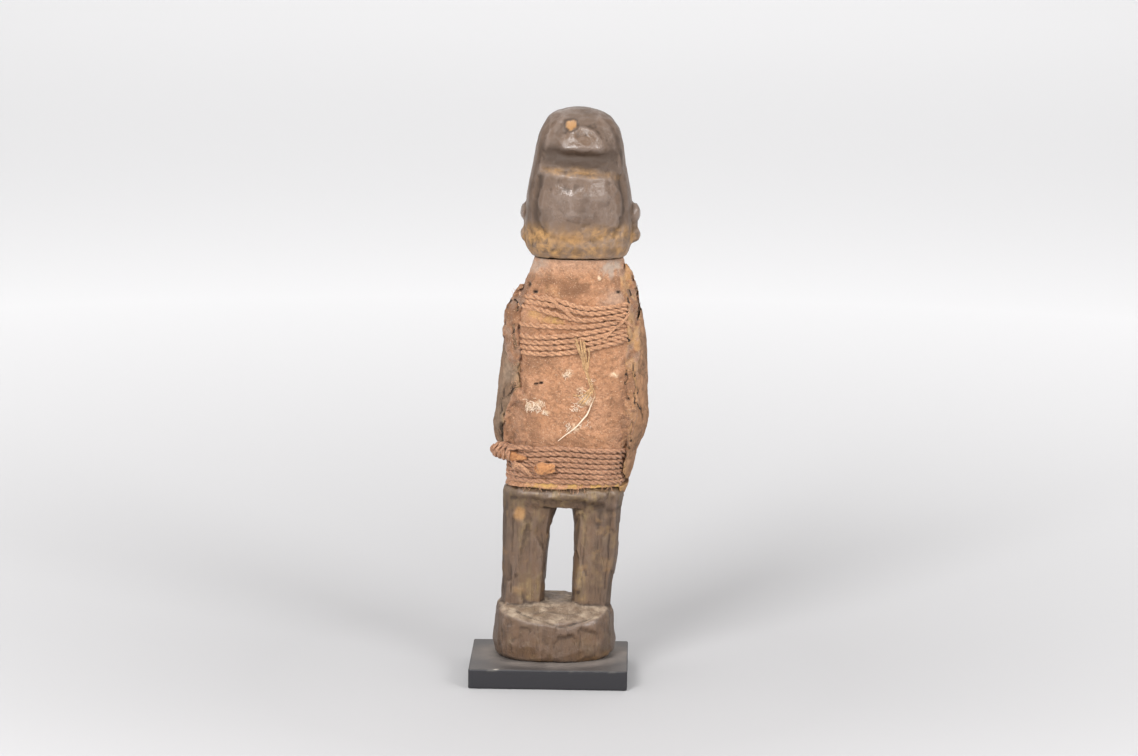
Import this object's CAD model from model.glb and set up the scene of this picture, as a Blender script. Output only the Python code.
"""A carved wooden power figure with a bound bundle on its low black plinth, lit for a catalogue picture.

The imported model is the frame: every piece here is worked from its own solid and stays where that solid is.
Sizes are in millimetres and become metres when a mesh is written.
"""

import logging
import math
from collections.abc import Callable, Sequence
from dataclasses import dataclass, field
from enum import Enum

import bmesh
import bpy
import numpy as np
from mathutils import Matrix, Vector
from mathutils.bvhtree import BVHTree
from mathutils.kdtree import KDTree


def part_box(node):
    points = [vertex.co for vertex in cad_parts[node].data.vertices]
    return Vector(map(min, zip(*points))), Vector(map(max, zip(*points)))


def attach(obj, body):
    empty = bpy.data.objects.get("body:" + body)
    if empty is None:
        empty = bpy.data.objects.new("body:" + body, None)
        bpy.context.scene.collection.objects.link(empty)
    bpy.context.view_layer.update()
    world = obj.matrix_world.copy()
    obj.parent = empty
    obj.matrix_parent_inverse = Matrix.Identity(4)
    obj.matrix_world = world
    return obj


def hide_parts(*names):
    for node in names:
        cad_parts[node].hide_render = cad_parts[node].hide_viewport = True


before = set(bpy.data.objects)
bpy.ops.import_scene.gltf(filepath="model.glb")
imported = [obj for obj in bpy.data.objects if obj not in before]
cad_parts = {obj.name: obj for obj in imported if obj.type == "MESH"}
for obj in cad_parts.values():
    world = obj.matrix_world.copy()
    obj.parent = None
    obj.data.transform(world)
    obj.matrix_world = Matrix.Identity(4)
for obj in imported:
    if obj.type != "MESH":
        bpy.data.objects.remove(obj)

log = logging.getLogger("power figure")
MM = 0.001
BODY = "root"
Array = np.ndarray
Piece = bpy.types.Object
Material = bpy.types.Material
Tree = bpy.types.NodeTree
Node = bpy.types.Node
Socket = bpy.types.NodeSocket
Sockets = bpy.types.bpy_prop_collection
Colour = tuple[float, float, float]
Point = tuple[float, float, float]


class Slot(Enum):
    """The record's material slots."""

    WOOD = "carved_wood"
    CLOTH = "crusted_cloth"
    CORD = "twisted_cord"
    HIDE = "tan_hide"
    FIBRE = "pale_fibre"
    CRUST = "packet_crust"
    PAINT = "black_paint"


# Numbers over a surface


def ramp(low: float, high: float, values: Array) -> Array:
    """Go smoothly from 0 at low to 1 at high.

    Args:
        low: where the result is 0; it may lie above high.
        high: where the result is 1.
        values: the numbers to read.

    Returns:
        One number from 0 to 1 for each value.
    """
    part = np.clip((values - low) / (high - low), 0.0, 1.0)
    return part * part * (3.0 - 2.0 * part)


def noise(points: Array, size: float, seed: int) -> Array:
    """Give smooth random values in space.

    Args:
        points: rows in millimetres.
        size: distance between independent values.
        seed: picks the pattern.

    Returns:
        One number from -1 to 1 for each point.
    """
    scaled = points / size + seed * 17.31
    cell = np.floor(scaled).astype(np.int64)
    part = scaled - cell
    fade = part * part * part * (part * (part * 6.0 - 15.0) + 10.0)
    total = np.zeros(len(points))
    for corner in np.ndindex(2, 2, 2):
        key = (cell + corner) @ np.array([73856093, 19349663, 83492791]) + seed * 2654435761
        key = (key ^ (key >> 13)) * 1274126177 & 0xFFFFFFFF
        key ^= key >> 16
        value = (key & 0xFFFF) / 32767.5 - 1.0
        total += value * np.prod(np.where(corner, fade, 1.0 - fade), axis=1)
    return total


def rough(points: Array, size: float, seed: int, octaves: int = 3) -> Array:
    """Add noise of ever smaller size.

    Args:
        points: rows in millimetres.
        size: size of the largest noise.
        seed: picks the pattern.
        octaves: how many sizes are added, each half the one before.

    Returns:
        One number, mostly from -1 to 1, for each point.
    """
    layers = (noise(points, size / 2**k, seed + k) / 2**k for k in range(octaves))
    return sum(layers) / 1.5


def shake(points: Array, size: float, seed: int) -> Array:
    """Give three noises for each point, to bend a line with."""
    return np.column_stack([noise(points, size, seed + k) for k in range(3)])


def apart(points: Array, place: Point, weights: Point) -> Array:
    """Measure how far points are from a place, each axis with its weight."""
    return np.linalg.norm((points - place) * weights, axis=1)


def evened(values: Array) -> Array:
    """Smooth a row of values once."""
    return np.convolve(np.pad(values, 2, mode="edge"), [0.1, 0.2, 0.4, 0.2, 0.1], mode="valid")


def path_distance(points: Array, path: Sequence[Point]) -> Array:
    """Measure how far points are from a line through a path.

    Args:
        points: rows in millimetres.
        path: the corners of the line.

    Returns:
        One distance for each point.
    """
    corners = np.array(path, float)
    best = np.full(len(points), np.inf)
    for start, end in zip(corners[:-1], corners[1:]):
        along = end - start
        share = np.clip((points - start) @ along / (along @ along), 0.0, 1.0)
        best = np.minimum(best, np.linalg.norm(points - start - share[:, None] * along, axis=1))
    return best


def smooth_path(path: Sequence[Point], step: float) -> Array:
    """Round a path into a Catmull-Rom curve with even steps.

    Args:
        path: the points that the curve passes.
        step: distance between the points that come back.

    Returns:
        Rows along the curve.
    """
    p = np.array(path, float)
    p = np.vstack([2 * p[0] - p[1], p, 2 * p[-1] - p[-2]])
    t = np.linspace(0.0, 1.0, 12, endpoint=False)[:, None]
    spans = [
        0.5 * (2 * b + (c - a) * t + (2 * a - 5 * b + 4 * c - d) * t**2 + (3 * b - a - 3 * c + d) * t**3)
        for a, b, c, d in zip(p[:-3], p[1:-2], p[2:-1], p[3:])
    ]
    dense = np.vstack([*spans, p[-2]])
    length = np.concatenate([[0.0], np.cumsum(np.linalg.norm(np.diff(dense, axis=0), axis=1))])
    even = np.linspace(0.0, length[-1], max(2, round(length[-1] / step) + 1))
    return np.column_stack([np.interp(even, length, dense[:, axis]) for axis in range(3)])


# Meshes


def read_array(items: bpy.types.bpy_prop_collection, name: str, width: int, kind: type = float) -> Array:
    """Read one property of every item of a mesh.

    Args:
        items: the mesh's vertices, edges or the like.
        name: the property.
        width: how many numbers it holds.
        kind: int or float.

    Returns:
        One row for each item.
    """
    flat = np.empty(len(items) * width, np.int32 if kind is int else np.float32)
    items.foreach_get(name, flat)
    return flat.reshape(-1, width).astype(kind)


def make_mesh(name: str, points: Array, faces: Sequence[Sequence[int]]) -> Piece:
    """Make an object from points in millimetres.

    Args:
        name: the object's name.
        points: rows in millimetres.
        faces: rows of point numbers.

    Returns:
        The new object, in the scene.
    """
    mesh = bpy.data.meshes.new(name)
    mesh.from_pydata((np.asarray(points) * MM).tolist(), [], [list(map(int, face)) for face in faces])
    mesh.update()
    return show(name, mesh)


def show(name: str, data: bpy.types.ID) -> Piece:
    """Put data into the scene.

    Args:
        name: the object's name.
        data: a mesh, curve, light or camera.

    Returns:
        The new object.
    """
    made = bpy.data.objects.new(name, data)
    bpy.context.scene.collection.objects.link(made)
    return made


def grid_faces(rows: int, columns: int) -> list[list[int]]:
    """List the quads of rings laid one after another.

    Args:
        rows: how many rings there are.
        columns: how many points each ring has.

    Returns:
        The quads as point numbers.
    """
    row, column = np.meshgrid(np.arange(rows - 1), np.arange(columns), indexing="ij")
    nearby = (column + 1) % columns
    a, b = row * columns + column, row * columns + nearby
    return np.stack([a, b, b + columns, a + columns], axis=-1).reshape(-1, 4).tolist()


def plain_copy(source: Piece, name: str, modify: Callable[[Piece], None]) -> Piece:
    """Copy an object, put modifiers on the copy and keep their result as a plain mesh.

    Args:
        source: the object to start from, which stays as it is.
        name: the new object's name.
        modify: adds the modifiers to the copy.

    Returns:
        The new object, without modifiers.
    """
    scratch = show(name + "_scratch", source.data.copy())
    modify(scratch)
    baked = bpy.data.meshes.new_from_object(scratch.evaluated_get(bpy.context.evaluated_depsgraph_get()))
    bpy.data.objects.remove(scratch)
    return show(name, baked)


def remeshed(node: str, name: str, voxel: float) -> Piece:
    """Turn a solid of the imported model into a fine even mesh.

    Args:
        node: the solid's name.
        name: the new object's name.
        voxel: size of the new mesh's quads.

    Returns:
        The new object.
    """

    def modify(scratch: Piece) -> None:
        """Weld the loose triangles, then rebuild the skin.

        Args:
            scratch: the copy to change.
        """
        scratch.modifiers.new("Weld", "WELD").merge_threshold = 1e-6
        rebuild = scratch.modifiers.new("Rebuild", "REMESH")
        rebuild.mode = "VOXEL"
        rebuild.voxel_size = voxel * MM

    return plain_copy(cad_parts[node], name, modify)


class Skin:
    """The points of a mesh, in millimetres, while its surface is being worked."""

    FLATTEN = (1.0, 0.45, 1.0)

    def __init__(self, piece: Piece) -> None:
        """Read a mesh.

        Args:
            piece: the object that has it.
        """
        self.piece = piece
        self.points = read_array(piece.data.vertices, "co", 3) / MM
        self.edges = read_array(piece.data.edges, "vertices", 2, int)
        self.degree = np.maximum(np.bincount(self.edges.ravel(), minlength=len(self.points)), 1)

    def averaged(self, values: Array) -> Array:
        """Average each point's neighbours.

        Args:
            values: one number or row for each point.

        Returns:
            The averages, in the same form.
        """
        start, end = self.edges.T
        columns = values.reshape(len(values), -1).T
        count = len(values)
        sums = [np.bincount(start, c[end], count) + np.bincount(end, c[start], count) for c in columns]
        return (np.column_stack(sums) / self.degree[:, None]).reshape(values.shape)

    def relax(self, rounds: int) -> None:
        """Smooth the surface without shrinking it.

        Args:
            rounds: how often it is smoothed.
        """
        for _ in range(rounds):
            for weight in (0.6, -0.62):
                self.points += weight * (self.averaged(self.points) - self.points)

    def soften(self, values: Array, rounds: int) -> Array:
        """Spread a value over the surface.

        Args:
            values: one number for each point.
            rounds: how far it spreads.

        Returns:
            The softened values.
        """
        for _ in range(rounds):
            values = 0.5 * values + 0.5 * self.averaged(values)
        return values

    def normals(self) -> Array:
        """Write the points to the mesh.

        Returns:
            The mesh's normals.
        """
        self.piece.data.vertices.foreach_set("co", (self.points * MM).astype(np.float32).ravel())
        self.piece.data.update()
        return read_array(self.piece.data.vertices, "normal", 3)

    def push(self, amount: Array) -> None:
        """Move the surface outwards by an amount at each point."""
        self.points += self.normals() * amount[:, None]

    def stroke(self, path: Sequence[Point], width: float, depth: float) -> Array:
        """Cut a groove along a path, or raise a ridge where depth is negative.

        Args:
            path: points on the surface.
            width: distance at which the groove has faded to a third.
            depth: depth along its middle.

        Returns:
            How much of the groove is at each point, from 0 to 1.
        """
        near = np.exp(
            -((path_distance(self.points * self.FLATTEN, np.array(path) * self.FLATTEN) / width) ** 2)
        )
        self.push(-depth * near)
        return near

    def chop(self, spacing: float, stretch: float, amount: Array, seed: int) -> None:
        """Press the surface towards flat tool cuts.

        Args:
            spacing: width of a cut.
            stretch: how many times longer than wide a cut is, along Z.
            amount: how flat the cuts are at each point, from 0 to 1.
            seed: picks where the cuts are.
        """
        normals = self.normals()
        squeeze = np.array([1.0, 1.0, 1.0 / stretch])
        random = np.random.default_rng(seed)
        shuffled = random.permutation(len(self.points))
        taken: set[tuple[int, ...]] = set()
        cuts = []
        for index in shuffled:
            cell = tuple(np.floor(self.points[index] * squeeze / spacing).astype(int))
            if cell not in taken:
                taken.add(cell)
                cuts.append(index)
        tree = KDTree(len(cuts))
        for index in cuts:
            tree.insert(self.points[index] * squeeze, int(index))
        tree.balance()
        nearest = np.array([tree.find(point)[1] for point in self.points * squeeze])
        gap = np.einsum("ij,ij->i", self.points[nearest] - self.points, normals[nearest])
        limit = 0.06 * spacing
        self.points += normals[nearest] * (np.clip(gap, -limit, limit) * amount)[:, None]

    def hollowness(self, rounds: int) -> Array:
        """Tell hollows from ridges.

        Args:
            rounds: how wide a hollow it looks for.

        Returns:
            Millimetres that each point lies below its surroundings; ridges are negative.
        """
        wide = self.points.copy()
        for _ in range(rounds):
            wide = self.averaged(wide)
        return np.einsum("ij,ij->i", wide - self.points, self.normals())

    def finish(self, **masks: Array) -> Piece:
        """Write the points and masks back.

        Args:
            masks: one number for each point, by attribute name.

        Returns:
            The piece.
        """
        self.normals()
        mesh = self.piece.data
        for name, values in masks.items():
            mask = mesh.attributes.new(name, "FLOAT", "POINT")
            mask.data.foreach_set("value", np.clip(values, 0.0, 1.0).astype(np.float32))
        mesh.shade_smooth()
        return self.piece


def settle(piece: Piece, slot: Slot, material: Material, *nodes: str) -> Piece:
    """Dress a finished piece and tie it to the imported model.

    Args:
        piece: the piece, at the origin with its place in its mesh.
        slot: the slot that it takes its finish from.
        material: its finish.
        nodes: the solids that it stands for.

    Returns:
        The piece.
    """
    piece.data.materials.clear()
    piece.data.materials.append(material)
    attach(piece, BODY)
    if nodes:
        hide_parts(*nodes)
    log.info("%s: %d faces", piece.name, len(piece.data.polygons) if piece.type == "MESH" else 0)
    return piece


# Node trees


class Wiring:
    """Adds nodes to a tree and joins them."""

    def __init__(self, tree: Tree) -> None:
        """Start on an empty tree."""
        self.tree = tree
        tree.nodes.clear()

    def add(self, kind: str, inputs: dict | None = None, **settings: object) -> Node:
        """Add a node.

        Args:
            kind: the node's type.
            inputs: values or sockets for its inputs, by name or number.
            settings: its own properties.

        Returns:
            The new node.
        """
        node = self.tree.nodes.new(kind)
        for name, value in settings.items():
            setattr(node, name, value)
        for key, value in (inputs or {}).items():
            if isinstance(value, Socket):
                self.link(value, node.inputs[key])
            else:
                node.inputs[key].default_value = value
        return node

    def math(self, operation: str, a: object, b: object = 0.0, clamp: bool = False) -> Socket:
        """Add a math node and give its result."""
        return self.add("ShaderNodeMath", {0: a, 1: b}, operation=operation, use_clamp=clamp).outputs[0]

    def times(self, a: object, b: object, clamp: bool = False) -> Socket:
        """Multiply two values."""
        return self.math("MULTIPLY", a, b, clamp)

    def plus(self, a: object, b: object) -> Socket:
        """Add two values."""
        return self.math("ADD", a, b)

    def minus(self, a: object, b: object, clamp: bool = False) -> Socket:
        """Take one value from another."""
        return self.math("SUBTRACT", a, b, clamp)

    def vector(self, operation: str, a: object, b: object) -> Socket:
        """Add a vector math node and give its result."""
        return self.add("ShaderNodeVectorMath", {0: a, 1: b}, operation=operation).outputs[0]

    def link(self, start: Socket, end: Socket) -> None:
        """Join two sockets."""
        self.tree.links.new(start, end)

    def remap(self, value: object, low: float, high: float, top: float = 1.0) -> Socket:
        """Map a value from low..high to 0..top."""
        inputs = {"Value": value, "From Min": low, "From Max": high, "To Max": top}
        return self.add("ShaderNodeMapRange", inputs).outputs["Result"]

    def mix(self, share: object, a: object, b: object, blend: str = "MIX") -> Socket:
        """Mix two colours and give the result."""
        inputs = {0: share, 6: four(a), 7: four(b)}
        return self.add("ShaderNodeMix", inputs, data_type="RGBA", blend_type=blend).outputs[2]

    def mask(self, name: str) -> Socket:
        """Give a mask that the mesh carries."""
        return self.add("ShaderNodeAttribute", attribute_name=name).outputs["Fac"]


def four(colour: object) -> object:
    """Give a colour its fourth number; sockets pass unchanged."""
    return (*colour, 1.0) if isinstance(colour, tuple) and len(colour) == 3 else colour


def group_tree(
    name: str, inputs: dict[str, float], outputs: Sequence[str]
) -> tuple[Wiring, Sockets, Sockets]:
    """Start a shader node group that reads Object coordinates.

    Args:
        name: the group's name.
        inputs: number inputs with their usual values.
        outputs: number outputs.

    Returns:
        The wiring, the sockets that come in and those that go out.
    """
    tree = bpy.data.node_groups.new(name, "ShaderNodeTree")
    wiring = Wiring(tree)
    for label, usual in inputs.items():
        socket = tree.interface.new_socket(label, in_out="INPUT", socket_type="NodeSocketFloat")
        socket.default_value = usual
    for label in outputs:
        tree.interface.new_socket(label, in_out="OUTPUT", socket_type="NodeSocketFloat")
    return wiring, wiring.add("NodeGroupInput").outputs, wiring.add("NodeGroupOutput").inputs


def grain_group() -> Tree:
    """Build the group for long fibres that run up the piece.

    Returns:
        The group, with Fibre and Pores masks.
    """
    wiring, given, result = group_tree(
        "Grain", {"Fineness": 900.0, "Length": 14.0, "Bend": 0.4}, ["Fibre", "Pores"]
    )
    place = wiring.add("ShaderNodeTexCoord").outputs["Object"]
    stretch = wiring.math("DIVIDE", 1.0, given["Length"])
    scale = wiring.add("ShaderNodeCombineXYZ", {0: 1.0, 1: 1.0, 2: stretch}).outputs[0]
    long = wiring.vector("MULTIPLY", place, scale)
    fibre = wiring.add(
        "ShaderNodeTexNoise",
        {"Vector": long, "Scale": given["Fineness"], "Detail": 4.0, "Distortion": given["Bend"]},
    )
    pores = wiring.add(
        "ShaderNodeTexNoise",
        {"Vector": long, "Scale": wiring.times(given["Fineness"], 2.7), "Detail": 2.0},
    )
    wiring.link(fibre.outputs["Fac"], result["Fibre"])
    wiring.link(wiring.remap(pores.outputs["Fac"], 0.56, 0.7), result["Pores"])
    return wiring.tree


def blotch_group() -> Tree:
    """Build the group for uneven blotches and specks.

    Returns:
        The group, with Blotch and Speck masks.
    """
    wiring, given, result = group_tree(
        "Blotches", {"Size": 120.0, "Speck Size": 900.0, "Speck Share": 0.3}, ["Blotch", "Speck"]
    )
    place = wiring.add("ShaderNodeTexCoord").outputs["Object"]
    blotch = wiring.add(
        "ShaderNodeTexNoise",
        {"Vector": place, "Scale": given["Size"], "Detail": 5.0, "Roughness": 0.6, "Distortion": 0.5},
    )
    speck = wiring.add(
        "ShaderNodeTexNoise",
        {"Vector": place, "Scale": given["Speck Size"], "Detail": 2.0, "Roughness": 0.7},
    )
    edge = wiring.minus(0.8, wiring.times(given["Speck Share"], 0.4))
    over = wiring.times(wiring.minus(speck.outputs["Fac"], edge), 12.0, clamp=True)
    wiring.link(wiring.remap(blotch.outputs["Fac"], 0.3, 0.7), result["Blotch"])
    wiring.link(over, result["Speck"])
    return wiring.tree


def felt_group() -> Tree:
    """Build the group for matted fibres that lie every way.

    Returns:
        The group, with a Felt height.
    """
    wiring, given, result = group_tree("Felt", {"Fineness": 700.0}, ["Felt"])
    place = wiring.add("ShaderNodeTexCoord").outputs["Object"]
    total: object = 0.0
    for turn in ((0.3, 0.9, 0), (1.2, 0.5, 0.7), (0.9, 2.1, 0.4)):
        turned = wiring.add("ShaderNodeMapping", {"Vector": place, "Rotation": turn}).outputs[0]
        long = wiring.vector("MULTIPLY", turned, (1.0, 1.0, 0.22))
        fibres = wiring.add(
            "ShaderNodeTexNoise",
            {"Vector": long, "Scale": given["Fineness"], "Detail": 3.0, "Distortion": 1.0},
        )
        total = wiring.plus(total, wiring.math("POWER", fibres.outputs["Fac"], 2.0))
    wiring.link(wiring.times(total, 0.6), result["Felt"])
    return wiring.tree


def crackle_group() -> Tree:
    """Build the group for a crust that has dried into small plates.

    Returns:
        The group, with Plates and Cracks masks.
    """
    wiring, given, result = group_tree("Crackle", {"Plates": 240.0, "Stretch": 0.5}, ["Plates", "Cracks"])
    place = wiring.add("ShaderNodeTexCoord").outputs["Object"]
    scale = wiring.add("ShaderNodeCombineXYZ", {0: 1.0, 1: 1.0, 2: given["Stretch"]}).outputs[0]
    long = wiring.vector("MULTIPLY", place, scale)
    bend = wiring.add("ShaderNodeTexNoise", {"Vector": long, "Scale": 170.0, "Detail": 3.0}).outputs["Color"]
    shift = wiring.vector("MULTIPLY", bend, (0.012, 0.012, 0.012))
    moved = wiring.vector("ADD", long, shift)
    cells = {"Vector": moved, "Scale": given["Plates"]}
    plates = wiring.add("ShaderNodeTexVoronoi", cells)
    edges = wiring.add("ShaderNodeTexVoronoi", cells, feature="DISTANCE_TO_EDGE")
    tone = wiring.add("ShaderNodeSeparateColor", {0: plates.outputs["Color"]}).outputs[0]
    wiring.link(tone, result["Plates"])
    wiring.link(wiring.remap(edges.outputs["Distance"], 0.09, 0.0), result["Cracks"])
    return wiring.tree


@dataclass(frozen=True)
class Effects:
    """The shader groups that the finishes share."""

    grain: Tree
    blotch: Tree
    felt: Tree
    crackle: Tree

    @staticmethod
    def build() -> "Effects":
        """Build each group once."""
        return Effects(grain_group(), blotch_group(), felt_group(), crackle_group())


class Paintbox(Wiring):
    """The nodes of one material."""

    def __init__(self, name: str, **plain: float) -> None:
        """Start a material with a Principled surface.

        Args:
            name: the material's name.
            plain: values for the surface's own sockets, with _ for a space.
        """
        self.material = bpy.data.materials.new(name)
        self.material.use_nodes = True
        super().__init__(self.material.node_tree)
        self.surface = self.add("ShaderNodeBsdfPrincipled")
        output = self.add("ShaderNodeOutputMaterial")
        self.link(self.surface.outputs[0], output.inputs["Surface"])
        for label, value in plain.items():
            self.surface.inputs[label.replace("_", " ")].default_value = value

    def place(self, group: Tree, **inputs: float) -> Sockets:
        """Place a shared group with this material's values.

        Args:
            group: the group.
            inputs: values for its sockets, with _ for a space.

        Returns:
            Its outputs.
        """
        node = self.add("ShaderNodeGroup", node_tree=group)
        for label, value in inputs.items():
            node.inputs[label.replace("_", " ")].default_value = value
        return node.outputs

    def close(self, colour: object, roughness: object, height: object, bump: float) -> Material:
        """Join colour, roughness and bump to the surface.

        Args:
            colour: the base colour's socket.
            roughness: the roughness socket.
            height: the bump's height socket.
            bump: how far the height reaches, in millimetres.

        Returns:
            The finished material.
        """
        relief = self.add("ShaderNodeBump", {"Strength": 1.0, "Distance": bump * MM, "Height": height})
        self.link(colour, self.surface.inputs["Base Color"])
        self.link(roughness, self.surface.inputs["Roughness"])
        self.link(relief.outputs[0], self.surface.inputs["Normal"])
        return self.material


@dataclass(frozen=True)
class OldWood:
    """Dark handled wood with dust and ochre in its cuts."""

    dark: Colour = (0.056, 0.033, 0.020)
    brown: Colour = (0.130, 0.069, 0.034)
    grey: Colour = (0.142, 0.099, 0.073)
    olive: Colour = (0.275, 0.185, 0.082)
    worn: Colour = (0.215, 0.160, 0.130)
    dust: Colour = (0.400, 0.310, 0.225)
    ochre: Colour = (0.420, 0.235, 0.090)
    tan: Colour = (0.520, 0.275, 0.100)
    cut: Colour = (0.020, 0.014, 0.010)

    def material(self, effects: Effects) -> Material:
        """Build the finish.

        Args:
            effects: the shared groups.

        Returns:
            The material.
        """
        box = Paintbox("Old wood", Specular_IOR_Level=0.5, Coat_Roughness=0.26)
        grain = box.place(effects.grain, Fineness=420.0, Length=9.0, Bend=0.9)
        blotch = box.place(effects.blotch, Size=58.0, Speck_Size=1100.0, Speck_Share=0.35)
        fine = box.place(effects.blotch, Size=300.0, Speck_Size=1900.0, Speck_Share=0.3)
        fibre = box.remap(grain["Fibre"], 0.36, 0.66)
        plain = box.remap(box.mask("head"), 0.6, 0.0)
        fibre = box.times(fibre, box.plus(box.times(plain, 0.85), 0.15))
        colour = box.mix(box.times(blotch["Blotch"], 0.55), self.brown, self.grey)
        colour = box.mix(box.mask("head"), colour, self.grey)
        colour = box.mix(box.times(fine["Blotch"], 0.42), colour, self.brown)
        colour = box.mix(box.times(fibre, 0.38), colour, self.dark)
        colour = box.mix(box.times(box.mask("polish"), 0.65), colour, self.worn)
        pores = box.times(grain["Pores"], plain)
        colour = box.mix(box.times(pores, 0.4), colour, self.dark)
        streak = box.times(box.mask("streak"), box.remap(grain["Fibre"], 0.30, 0.62))
        colour = box.mix(streak, colour, self.olive)
        colour = box.mix(box.mask("hollow"), colour, self.dark)
        dusty = box.times(box.mask("dust"), box.remap(fine["Blotch"], -0.3, 0.9))
        colour = box.mix(dusty, colour, self.dust)
        speckled = box.times(box.mask("ochre"), box.remap(fine["Blotch"], 0.0, 0.9))
        colour = box.mix(speckled, colour, self.ochre)
        colour = box.mix(box.mask("tan"), colour, self.tan)
        colour = box.mix(box.mask("crack"), colour, self.cut)
        dull = box.plus(0.36, box.times(fibre, 0.14))
        dull = box.plus(dull, box.times(box.mask("dust"), 0.35))
        dull = box.plus(dull, box.times(box.mask("ochre"), 0.35))
        dull = box.plus(dull, box.times(box.mask("hollow"), 0.25))
        dull = box.minus(dull, box.times(box.mask("polish"), 0.10))
        dull = box.minus(dull, box.times(box.mask("gloss"), 0.13), clamp=True)
        shine = box.minus(0.26, box.times(box.mask("hollow"), 0.4), clamp=True)
        shine = box.minus(shine, box.times(box.mask("dust"), 0.4), clamp=True)
        box.link(shine, box.surface.inputs["Coat Weight"])
        height = box.minus(box.times(fibre, 0.6), pores)
        height = box.plus(height, fine["Blotch"])
        return box.close(colour, dull, height, 0.20)


@dataclass(frozen=True)
class CrustedCloth:
    """Felted cloth stiffened with red earth."""

    earth: Colour = (0.440, 0.215, 0.108)
    pink: Colour = (0.560, 0.300, 0.175)
    brown: Colour = (0.200, 0.098, 0.052)
    pale: Colour = (0.800, 0.640, 0.450)
    ochre: Colour = (0.520, 0.315, 0.105)
    grey: Colour = (0.400, 0.330, 0.270)
    hole: Colour = (0.015, 0.010, 0.008)

    def material(self, effects: Effects) -> Material:
        """Build the finish.

        Args:
            effects: the shared groups.

        Returns:
            The material.
        """
        box = Paintbox("Crusted cloth", Specular_IOR_Level=0.2, Sheen_Weight=0.15, Sheen_Roughness=0.5)
        blotch = box.place(effects.blotch, Size=55.0, Speck_Size=520.0, Speck_Share=0.38)
        fine = box.place(effects.blotch, Size=420.0, Speck_Size=1500.0, Speck_Share=0.5)
        felt = box.place(effects.felt, Fineness=620.0)
        colour = box.mix(blotch["Blotch"], self.earth, self.pink)
        crease = box.remap(felt["Felt"], 0.52, 0.30)
        colour = box.mix(box.times(crease, 0.65), colour, self.brown)
        colour = box.mix(box.times(fine["Blotch"], 0.32), colour, self.brown)
        colour = box.mix(box.mask("brown"), colour, self.brown)
        colour = box.mix(box.times(fine["Speck"], 0.34), colour, self.pale)
        colour = box.mix(box.times(blotch["Speck"], 0.45), colour, self.brown)
        colour = box.mix(box.mask("grey"), colour, self.grey)
        colour = box.mix(box.mask("ochre"), colour, self.ochre)
        pale = box.times(box.mask("pale"), box.remap(felt["Felt"], 0.3, 0.62))
        colour = box.mix(pale, colour, self.pale)
        colour = box.mix(box.mask("hole"), colour, self.hole)
        dull = box.plus(0.82, box.times(fine["Blotch"], 0.15))
        height = box.plus(felt["Felt"], box.times(fine["Blotch"], 0.4))
        return box.close(colour, dull, height, 0.75)


@dataclass(frozen=True)
class PacketCrust:
    """Hard cracked skin over the packet, tan where it has broken."""

    brown: Colour = (0.215, 0.122, 0.068)
    grey: Colour = (0.320, 0.228, 0.160)
    red: Colour = (0.410, 0.215, 0.112)
    broken: Colour = (0.450, 0.265, 0.110)
    cut: Colour = (0.018, 0.012, 0.009)

    def material(self, effects: Effects) -> Material:
        """Build the finish.

        Args:
            effects: the shared groups.

        Returns:
            The material.
        """
        box = Paintbox("Packet crust", Specular_IOR_Level=0.3)
        blotch = box.place(effects.blotch, Size=48.0, Speck_Size=700.0, Speck_Share=0.35)
        fine = box.place(effects.blotch, Size=260.0, Speck_Size=1500.0, Speck_Share=0.4)
        crackle = box.place(effects.crackle, Plates=230.0, Stretch=0.55)
        felt = box.place(effects.felt, Fineness=900.0)
        colour = box.mix(blotch["Blotch"], self.brown, self.grey)
        colour = box.mix(box.mask("red"), colour, self.red)
        colour = box.mix(box.times(crackle["Plates"], 0.25), colour, self.brown)
        colour = box.mix(box.times(fine["Blotch"], 0.45), colour, self.cut)
        dried = box.times(crackle["Cracks"], box.remap(blotch["Blotch"], 0.9, 0.1, 0.7))
        colour = box.mix(dried, colour, self.cut)
        colour = box.mix(box.mask("broken"), colour, self.broken)
        colour = box.mix(box.mask("crack"), colour, self.cut)
        dull = box.plus(0.62, box.times(blotch["Blotch"], 0.25))
        height = box.plus(box.times(felt["Felt"], 0.35), fine["Blotch"])
        height = box.minus(height, box.times(dried, 0.8))
        return box.close(colour, dull, height, 0.5)


@dataclass(frozen=True)
class PlantFibre:
    """Twisted or loose bast fibre, from earth red to straw."""

    name: str
    light: Colour
    deep: Colour
    sheen: float = 0.2
    bleached: Colour = (0.780, 0.640, 0.500)

    def material(self, effects: Effects) -> Material:
        """Build the finish.

        Args:
            effects: the shared groups.

        Returns:
            The material.
        """
        box = Paintbox(self.name, Specular_IOR_Level=0.25, Sheen_Weight=self.sheen, Sheen_Roughness=0.45)
        felt = box.place(effects.felt, Fineness=1500.0)
        blotch = box.place(effects.blotch, Size=160.0, Speck_Size=1700.0, Speck_Share=0.45)
        worn = box.remap(felt["Felt"], 0.22, 0.6)
        colour = box.mix(worn, self.deep, self.light)
        colour = box.mix(box.times(blotch["Blotch"], 0.45), colour, self.deep)
        colour = box.mix(box.mask("bleach"), colour, self.bleached)
        colour = box.mix(box.mask("hollow"), colour, self.deep)
        dull = box.plus(0.75, box.times(blotch["Blotch"], 0.2))
        return box.close(colour, dull, felt["Felt"], 0.25)


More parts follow.
